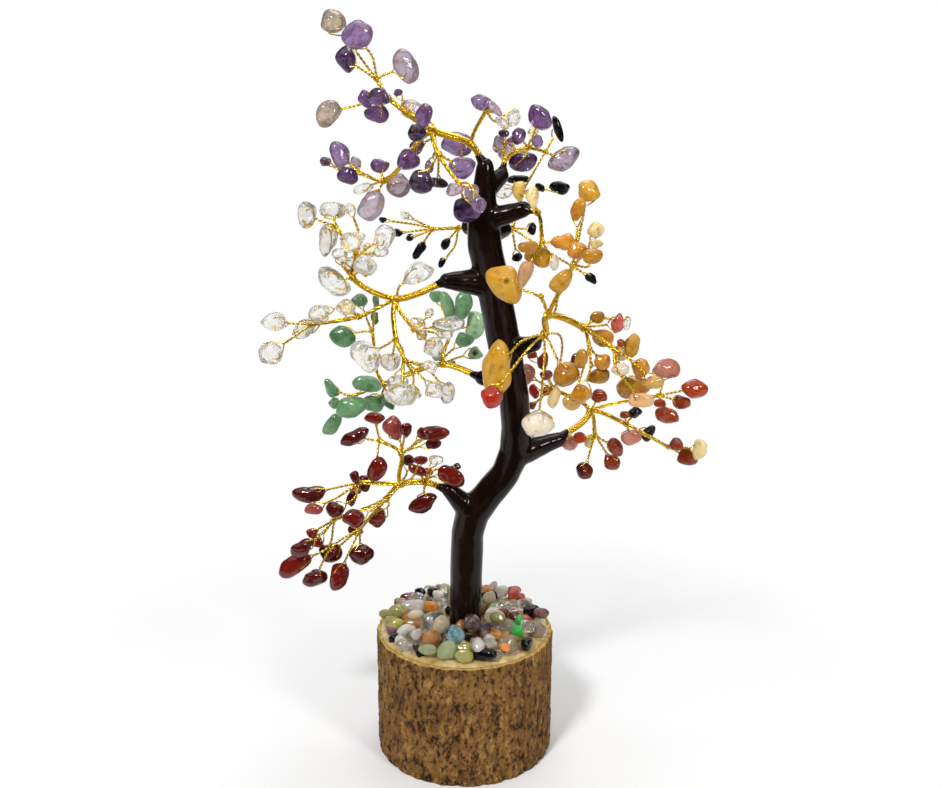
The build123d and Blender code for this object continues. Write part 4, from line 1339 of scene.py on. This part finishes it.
@dataclass
class Branch:
    """One branch: a bundle of gold wires, twigs of two wires, and a stone on each twig."""

    name: str
    knot_reach: float = 1.73
    wire: float = 0.225
    bundle_wire: float = 0.25
    pitch: float = 2.8
    bundle_pitch: float = 10.0
    step: float = 0.28
    bundle_step: float = 0.5
    splay: float = 1.4
    collar: tuple[tuple[float, float], ...] = ((1.0, 1.6), (1.6, 1.62), (2.2, 1.5))
    collar_lip: tuple[tuple[float, float], ...] = ((2.8, 0.24), (3.5, 0.1), (4.2, 0.0))
    collar_sides: int = 24
    first_seed: int = 0

    def build(self, finishes: Finishes) -> None:
        """Builds the branch's pieces.

        Args:
            finishes: The materials.
        """
        body_nodes = frame["record"]["behaviour"]["bodies"][self.name]
        self.forms: list[StoneForm] = []
        for node in sorted(body_nodes):
            if node.endswith("_chips"):
                kind = node[len(self.name) + 1:-len("chips")].strip("_") or BRANCH_KINDS[self.name]
                self.build_stones(node, KINDS[kind], finishes)
        self.splits = self.read_splits()
        self.build_root(finishes.lacquer)
        self.build_bundle(finishes.gold)
        self.build_twigs(finishes.gold)

    def build_stones(self, node: str, kind: StoneKind, finishes: Finishes) -> None:
        """Builds the stones of one node as tumbled chips.

        Args:
            node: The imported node.
            kind: The kind of stone.
            finishes: The materials.
        """
        parts = MeshParts()
        for island in islands(node):
            seed = self.first_seed + len(self.forms)
            form = StoneForm.read(island)
            self.forms.append(form)
            add_stone(parts, form, kind, seed)
        piece = parts.build(node.replace("chips", "stones"), finishes.stone(kind.finish))
        settle(piece, self.name, [node])

    def read_twigs(self) -> list[Twig]:
        """Reads each twig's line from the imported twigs.

        Returns:
            The twigs, their starts, bends and ends worked out from their two end discs.
        """
        node = f"{self.name}_twigs"
        centres = np.array([form.centre for form in self.forms])
        discs = []
        for face in islands(node, joined=False):
            normals, _, areas = face.planes()
            way = unit(areas @ normals)
            middle = face.points.mean(axis=0)
            if np.abs((face.points - middle) @ way).max() < 0.01:
                discs.append((face.points[0], middle, way))
        twigs = []
        for island in islands(node):
            ends = [disc[1:] for disc in discs if np.abs(island.points - disc[0]).sum(axis=1).min() < 1e-3]
            ends.sort(key=lambda disc: np.linalg.norm(centres - disc[0], axis=1).min())
            (end, run), (start, back) = ends[0], ends[-1]
            bend = (start + end) / 2
            if np.linalg.norm(run + back) > 0.03:
                lengths = np.linalg.lstsq(np.column_stack((back, -run)), start - end, rcond=None)[0]
                bend = (start - back * lengths[0] + end - run * lengths[1]) / 2
            twigs.append(Twig(start + back * self.knot_reach, -back, bend, end))
        return twigs

    def read_splits(self) -> list[Split]:
        """Reads the places where the bundle splits, and which run joins them.

        Returns:
            The splits, the root first, each with its parent's number.
        """
        joint = next(row for row in frame["joints"] if row["child"] == self.name)
        splits = [Split(np.array(joint["pos_m"]) / MM)]
        for twig in self.read_twigs():
            gaps = [np.linalg.norm(twig.knot - split.place) for split in splits]
            if min(gaps) > 0.5:
                splits.append(Split(twig.knot))
                gaps.append(0.0)
            splits[int(np.argmin(gaps))].twigs.append(twig)
        points, faces = mesh_arrays(f"{self.name}_stem")
        tree = BVHTree.FromPolygons(points.tolist(), faces.tolist())
        reached, left = [0], list(range(1, len(splits)))
        while left:
            trials = []
            for parent in reached:
                for child in left:
                    first, last = splits[parent].place, splits[child].place
                    depths = [
                        tree.find_nearest(Vector(first + (last - first) * share))[3]
                        for share in (0.36, 0.43, 0.5, 0.57, 0.64)
                    ]
                    usual = np.median(depths)
                    miss = max(abs(depth - usual) for depth in depths) + max(usual - 1.15, 0)
                    trials.append((miss, np.linalg.norm(last - first), parent, child))
            miss, _, parent, child = min(trials)
            if miss > 0.15:
                LOG.warning("%s: a run was guessed, %.2f off", self.name, miss)
            splits[child].parent = parent
            splits[parent].children.append(child)
            reached.append(child)
            left.remove(child)
        for number in reversed(reached):
            splits[number].load += len(splits[number].twigs)
            if splits[number].parent >= 0:
                splits[splits[number].parent].load += splits[number].load
        return splits

    def run_line(self, number: int) -> Array:
        """Returns the middle line of the run that ends at a split, eased into its neighbours."""
        split = self.splits[number]
        parent = self.splits[split.parent]
        run = split.place - parent.place
        length = np.linalg.norm(run)
        leave, arrive = unit(run), unit(run)
        if parent.parent >= 0:
            leave = unit(leave + 0.6 * unit(parent.place - self.splits[parent.parent].place))
        if split.children:
            main = max(split.children, key=lambda child: self.splits[child].load)
            arrive = unit(arrive + 0.5 * unit(self.splits[main].place - split.place))
        share = np.linspace(0, 1, max(int(length / self.bundle_step), 6))[:, None]
        return (
            (2 * share**3 - 3 * share**2 + 1) * parent.place
            + (share**3 - 2 * share**2 + share) * leave * length
            + (3 * share**2 - 2 * share**3) * split.place
            + (share**3 - share**2) * arrive * length
        )

    def bundle_size(self, number: int) -> tuple[int, float]:
        """Returns how many wires a run shows, and how far they lie from its middle."""
        count = int(np.clip(round(2 + 0.5 * self.splits[number].load), 3, 10))
        return count, self.bundle_wire / sin(pi / count)

    def build_root(self, material: bpy.types.Material) -> None:
        """Builds the collar of lacquer round the wires where they leave the stub's end."""
        root = self.splits[0]
        line = self.run_line(root.children[0])
        way = unit(line[1] - line[0])
        side = crosswise(way)
        over = np.cross(way, side)
        last = self.bundle_size(root.children[0])[1] + self.bundle_wire
        profile = (*self.collar, *((ahead, last + spare) for ahead, spare in self.collar_lip))
        rings = []
        for ahead, radius in profile:
            for turn in 2 * pi * np.arange(self.collar_sides) / self.collar_sides:
                rings.append(root.place + way * ahead + radius * (side * cos(turn) + over * sin(turn)))
        shape = (len(profile), self.collar_sides)
        parts = MeshParts()
        parts.add(np.array(rings), end_faces(*shape) + ring_faces(*shape))
        piece = parts.build(f"{self.name}_root", material)
        settle(piece, self.name, [])

    def build_bundle(self, material: bpy.types.Material) -> None:
        """Builds the twisted bundle of wires, with a short wrap at every split."""
        parts = MeshParts()
        for number in range(1, len(self.splits)):
            split = self.splits[number]
            path = self.run_line(number)
            count, reach = self.bundle_size(number)
            along = travel(path)
            across, over = sides_along(path, crosswise(unit(path[1] - path[0])))
            flare = np.ones(len(path))
            if split.parent == 0:
                flare = 1 + 0.3 * np.exp(-along / 1.5)
            for wire in range(count):
                turn = (2 * pi * wire / count + 2 * pi * along / self.bundle_pitch)[:, None]
                strand = path + (reach * flare)[:, None] * (across * np.cos(turn) + over * np.sin(turn))
                parts.add(*tube(strand, self.bundle_wire))
            if split.twigs:
                wrap = self.wrap_line(split.place, unit(path[-1] - path[-2]), reach)
                parts.add(*tube(wrap, self.bundle_wire * 0.9))
        piece = parts.build(f"{self.name}_bundle", material)
        settle(piece, self.name, [f"{self.name}_stem"])

    def wrap_line(self, place: Array, way: Array, reach: float, turns: float = 2.4) -> Array:
        """Returns the line of a wire wound a few times round a bundle."""
        side = crosswise(way)
        over = np.cross(way, side)
        angle = np.linspace(0, 2 * pi * turns, 34)[:, None]
        rise = (angle / (2 * pi) - turns / 2) * self.bundle_wire * 2.1
        around = side * np.cos(angle) + over * np.sin(angle)
        return place + way * rise + (reach + self.bundle_wire * 1.5) * around

    def build_twigs(self, material: bpy.types.Material) -> None:
        """Builds the twigs: two twisted wires that part just before the stone and enter its sides."""
        parts = MeshParts()
        for number, split in enumerate(self.splits):
            for twig in split.twigs:
                for strand in self.twig_strands(number, twig):
                    parts.add(*tube(strand, self.wire, 5))
        piece = parts.build(f"{self.name}_wires", material)
        settle(piece, self.name, [f"{self.name}_twigs"])

    def twig_strands(self, number: int, twig: Twig) -> list[Array]:
        """Returns the lines of a twig's two wires.

        Args:
            number: The split that it leaves from.
            twig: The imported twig.

        Returns:
            Two lines from the bundle to the sides of the stone.
        """
        form = min(self.forms, key=lambda form: np.linalg.norm(form.centre - twig.end))
        run = unit(twig.end - twig.bend)
        below = form.reach(-run)
        spare = np.linalg.norm(twig.end - twig.bend) - below
        fork = twig.end - run * (below + np.clip(spare * 0.45, 0.25, self.splay))
        line = self.run_line(number) if number else twig.knot[None]
        entry = line[max(len(line) - 6, 0)]
        way = unit(line[-1] - line[-2]) if number else twig.way
        aside = unit(twig.way - way * (twig.way @ way)) * self.bundle_size(number)[1] * 0.9
        path = spaced(eased(np.array((entry + aside, twig.knot + aside * 0.8, twig.bend, fork))), self.step)
        across = unit(np.cross(run, (0.0, 1.0, 0.0)) + crosswise(run) * 0.05)
        swing = 0.9 * sin(twig.end @ np.array((1.3, 2.1, 0.7)))
        across = across * cos(swing) + np.cross(run, across) * sin(swing)
        back_across, back_over = sides_along(path[::-1], across)
        along = travel(path)
        turn = (2 * pi * (along - along[-1]) / self.pitch)[:, None]
        offset = self.wire * (back_across[::-1] * np.cos(turn) + back_over[::-1] * np.sin(turn))
        strands = []
        for sign in (1, -1):
            wide = form.reach(sign * across)
            hook = np.array((
                path[-1] + offset[-1] * sign,
                fork + run * below * 0.25 + sign * across * wide * 0.4,
                twig.end - run * below * 0.5 + sign * across * wide * 0.95,
                twig.end + sign * across * wide * 0.45,
            ))
            strands.append(np.vstack((path[:-1] + sign * offset[:-1], spaced(eased(hook, 2), self.step))))
        return strands


def add_stone(parts: MeshParts, form: StoneForm, kind: StoneKind, seed: int) -> None:
    """Adds one tumbled stone to a piece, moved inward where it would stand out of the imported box.

    Args:
        parts: The piece's points and faces.
        form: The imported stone's form.
        kind: The kind of stone.
        seed: Which stone this is.
    """
    surface = form.shape(seed, kind.fullness, kind.lump) * (1.0, 1.0, kind.rise)
    # A drilled hole is dented in and darkened by painted shade that scales the tones.
    hole_painted_shade = DRILL_HOLE.sink(form.centre, surface)
    low, high = (np.array(corner) / MM for corner in CAD_BOX)
    tones = hole_painted_shade[:, None] * kind.tone(form.centre, seed)
    points = form.centre + surface
    points += np.minimum(high - points.max(axis=0), 0) + np.maximum(low - points.min(axis=0), 0)
    parts.add(points, BALL_FACES, tones)


@dataclass
class Gravel:
    """The loose stones in the glue."""

    first_seed: int = 5000
    tries: int = 2500
    gap: float = 3.4
    rim: float = 2.6
    from_trunk: float = 7.4
    sizes: tuple[float, float] = (1.8, 2.6)
    shares: tuple[tuple[str, int], ...] = (
        ("gravel_clear", 6), ("gravel_milky", 4), ("gravel_garnet", 3), ("gravel_black", 2),
        ("gravel_olive", 1), ("gravel_amber", 2), ("gravel_moss", 1),
    )

    def build(self, finishes: Finishes) -> None:
        """Builds the stones of each colour as one piece.

        Args:
            finishes: The materials.
        """
        nodes = [node for node in sorted(frame["nodes"]) if node.startswith("gravel_")]
        forms = {node: [StoneForm.read(island) for island in islands(node)] for node in nodes}
        self.fill_gaps(forms)
        seed = self.first_seed
        for node in nodes:
            parts = MeshParts()
            for form in forms[node]:
                add_stone(parts, form, KINDS[node], seed)
                seed += 1
            piece = parts.build(f"{node}_stones", finishes.stone(KINDS[node].finish))
            settle(piece, "stand", [node])

    def fill_gaps(self, forms: dict[str, list[StoneForm]]) -> None:
        """Adds the small stones that lie pressed between the large ones."""
        draw = np.random.default_rng(self.first_seed)
        low, high = (np.array(corner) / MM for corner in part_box("glue_bed"))
        middle, radius = (low + high) / 2, (high[0] - low[0]) / 2 - self.rim
        colours = [node for node, share in self.shares for _ in range(share)]
        taken = [form.centre[:2] for stones in forms.values() for form in stones]
        for number in range(self.tries):
            turn, out = draw.uniform(0, 2 * pi), radius * np.sqrt(draw.uniform())
            place = middle[:2] + out * np.array((cos(turn), sin(turn)))
            if np.linalg.norm(place - TRUNK_FOOT) < self.from_trunk:
                continue
            if np.linalg.norm(np.array(taken) - place, axis=1).min() < self.gap:
                continue
            taken.append(place)
            centre = np.array((*place, high[2] + draw.uniform(0.3, 1.0)))
            form = StoneForm.loose(centre, draw.uniform(*self.sizes), self.first_seed + number)
            forms[colours[draw.integers(len(colours))]].append(form)


@dataclass(frozen=True)
class Lamp:
    """A soft studio lamp: its place, what it looks at, its width and its power."""

    name: str
    place: Triple
    target: Triple
    width: float
    power: float

    def build(self) -> None:
        """Adds the lamp to the scene."""
        data = bpy.data.lights.new(self.name, "AREA")
        data.energy = self.power
        data.size = self.width
        lamp = bpy.data.objects.new(self.name, data)
        lamp.location = self.place
        lamp.rotation_euler = (Vector(self.target) - Vector(self.place)).to_track_quat("-Z", "Y").to_euler()
        bpy.context.scene.collection.objects.link(lamp)


@dataclass
class Studio:
    """The floor, the lamps, the white surround and the camera."""

    lamps: tuple[Lamp, ...] = (
        Lamp("key", (-0.28, -0.55, 0.75), (0.0, 0.0, 0.13), 0.13, 5.0),
        Lamp("fill", (0.5, -0.6, 0.5), (0.0, 0.0, 0.12), 0.14, 2.2),
        Lamp("top", (0.05, 0.25, 0.85), (0.0, 0.0, 0.12), 0.4, 2.2),
    )
    flags: tuple[tuple[Triple, Triple, Triple], ...] = (
        ((-1.1, 0.4, 0.0), (0.74, 0.0, 0.0), (0.0, 0.0, 0.9)),
        ((0.36, 0.4, 0.0), (0.74, 0.0, 0.0), (0.0, 0.0, 0.9)),
        ((-1.1, 0.5, 0.62), (2.2, 0.0, 0.0), (0.0, 0.0, 0.48)),
        ((-1.6, -1.1, -0.2), (3.2, 0.0, 0.0), (0.0, 0.0, 1.7)),
        ((-1.6, -1.1, -0.2), (0.5, 1.5, 0.0), (0.0, 0.0, 1.4)),
        ((1.6, -1.1, -0.2), (-0.5, 1.5, 0.0), (0.0, 0.0, 1.4)),
        ((-0.2, -0.9, 0.002), (0.4, 0.0, 0.0), (0.0, 0.8, 0.0)),
    )
    ambient: float = 0.4
    floor_size: float = 6.0
    floor_clear: float = 0.05
    floor_white: float = 0.2

    def build(self) -> None:
        """Builds the studio."""
        for lamp in self.lamps:
            lamp.build()
        self.build_world()
        self.build_floor()
        self.build_flags()
        self.build_camera()
        bpy.context.scene.view_settings.view_transform = "Standard"

    def seen(self, kit: Kit) -> bpy.types.NodeSocket:
        """Returns 1 for rays that show the background: camera, glossy and transmission."""
        path = kit.node("ShaderNodeLightPath").outputs
        shown = kit.sums("MAXIMUM", path["Is Camera Ray"], path["Is Glossy Ray"])
        return kit.sums("MAXIMUM", shown, path["Is Transmission Ray"])

    def build_world(self) -> None:
        """Builds the white surround."""
        world = bpy.data.worlds.new("studio")
        bpy.context.scene.world = world
        world.use_nodes = True
        world.node_tree.nodes.clear()
        kit = Kit(world.node_tree)
        strength = kit.span(self.seen(kit), 0.0, 1.0, self.ambient, 1.0)
        background = kit.node("ShaderNodeBackground", {"Color": (1.0, 1.0, 1.0), "Strength": strength})
        kit.node("ShaderNodeOutputWorld", {"Surface": background.outputs[0]})

    def build_floor(self) -> None:
        """Builds the pale floor, which turns into the white surround away from the log."""
        half = self.floor_size / 2
        mesh = bpy.data.meshes.new("floor")
        corners = [(-half, -half, 0), (half, -half, 0), (half, half, 0), (-half, half, 0)]
        mesh.from_pydata(corners, [], [(0, 1, 2, 3)])
        floor = bpy.data.objects.new("floor", mesh)
        bpy.context.scene.collection.objects.link(floor)
        material, kit, shader = blank("pale_floor")
        shader.inputs["Base Color"].default_value = (0.86, 0.86, 0.86, 1.0)
        shader.inputs["Roughness"].default_value = 0.9
        shader.inputs["Specular IOR Level"].default_value = 0.0
        away = kit.node("ShaderNodeVectorMath", {0: kit.place()}, operation="LENGTH").outputs["Value"]
        share = kit.sums("MULTIPLY", kit.span(away, self.floor_clear, self.floor_white), self.seen(kit))
        white = kit.node("ShaderNodeEmission", {"Color": (1.0, 1.0, 1.0), "Strength": 1.0})
        mixed = kit.node("ShaderNodeMixShader", {0: share, 1: shader.outputs[0], 2: white.outputs[0]})
        output = next(node for node in material.node_tree.nodes if node.type == "OUTPUT_MATERIAL")
        kit.feed(output.inputs["Surface"], mixed.outputs[0])
        mesh.materials.append(material)

    def build_flags(self) -> None:
        """Builds the dark flags beside the view, which give wire and clear stone dark edges."""
        material, _, shader = blank("dark_flag")
        shader.inputs["Base Color"].default_value = (0.05, 0.045, 0.04, 1.0)
        shader.inputs["Roughness"].default_value = 1.0
        shader.inputs["Specular IOR Level"].default_value = 0.0
        for number, (first, side, up) in enumerate(self.flags):
            mesh = bpy.data.meshes.new(f"flag_{number}")
            corner, side, up = Vector(first), Vector(side), Vector(up)
            mesh.from_pydata([corner, corner + side, corner + side + up, corner + up], [], [(0, 1, 2, 3)])
            mesh.materials.append(material)
            flag = bpy.data.objects.new(f"flag_{number}", mesh)
            flag.visible_camera = False
            flag.visible_diffuse = False
            flag.visible_transmission = first[1] > 0
            flag.visible_shadow = False
            bpy.context.scene.collection.objects.link(flag)

    def build_camera(self) -> None:
        """Builds the camera at the picture's viewpoint."""
        data = bpy.data.cameras.new("camera")
        data.sensor_fit = "HORIZONTAL"
        data.sensor_width = VIEW.sensor
        data.lens = VIEW.focal / VIEW.width * VIEW.sensor
        data.clip_start = 0.01
        camera = bpy.data.objects.new("camera", data)
        camera.location = Vector(VIEW.eye) * MM
        camera.rotation_euler = (radians(90 - VIEW.tilt), 0.0, 0.0)
        bpy.context.scene.collection.objects.link(camera)
        bpy.context.scene.camera = camera


def main() -> None:
    """Builds the tree and its studio."""
    logging.basicConfig(level=logging.INFO, format="%(message)s")
    finishes = Finishes()
    Studio().build()
    Log().build(finishes)
    Trunk().build(finishes)
    for number, name in enumerate(BRANCH_KINDS):
        Branch(name, first_seed=200 * number).build(finishes)
    Gravel().build(finishes)
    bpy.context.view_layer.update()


if __name__ == "__main__":
    main()
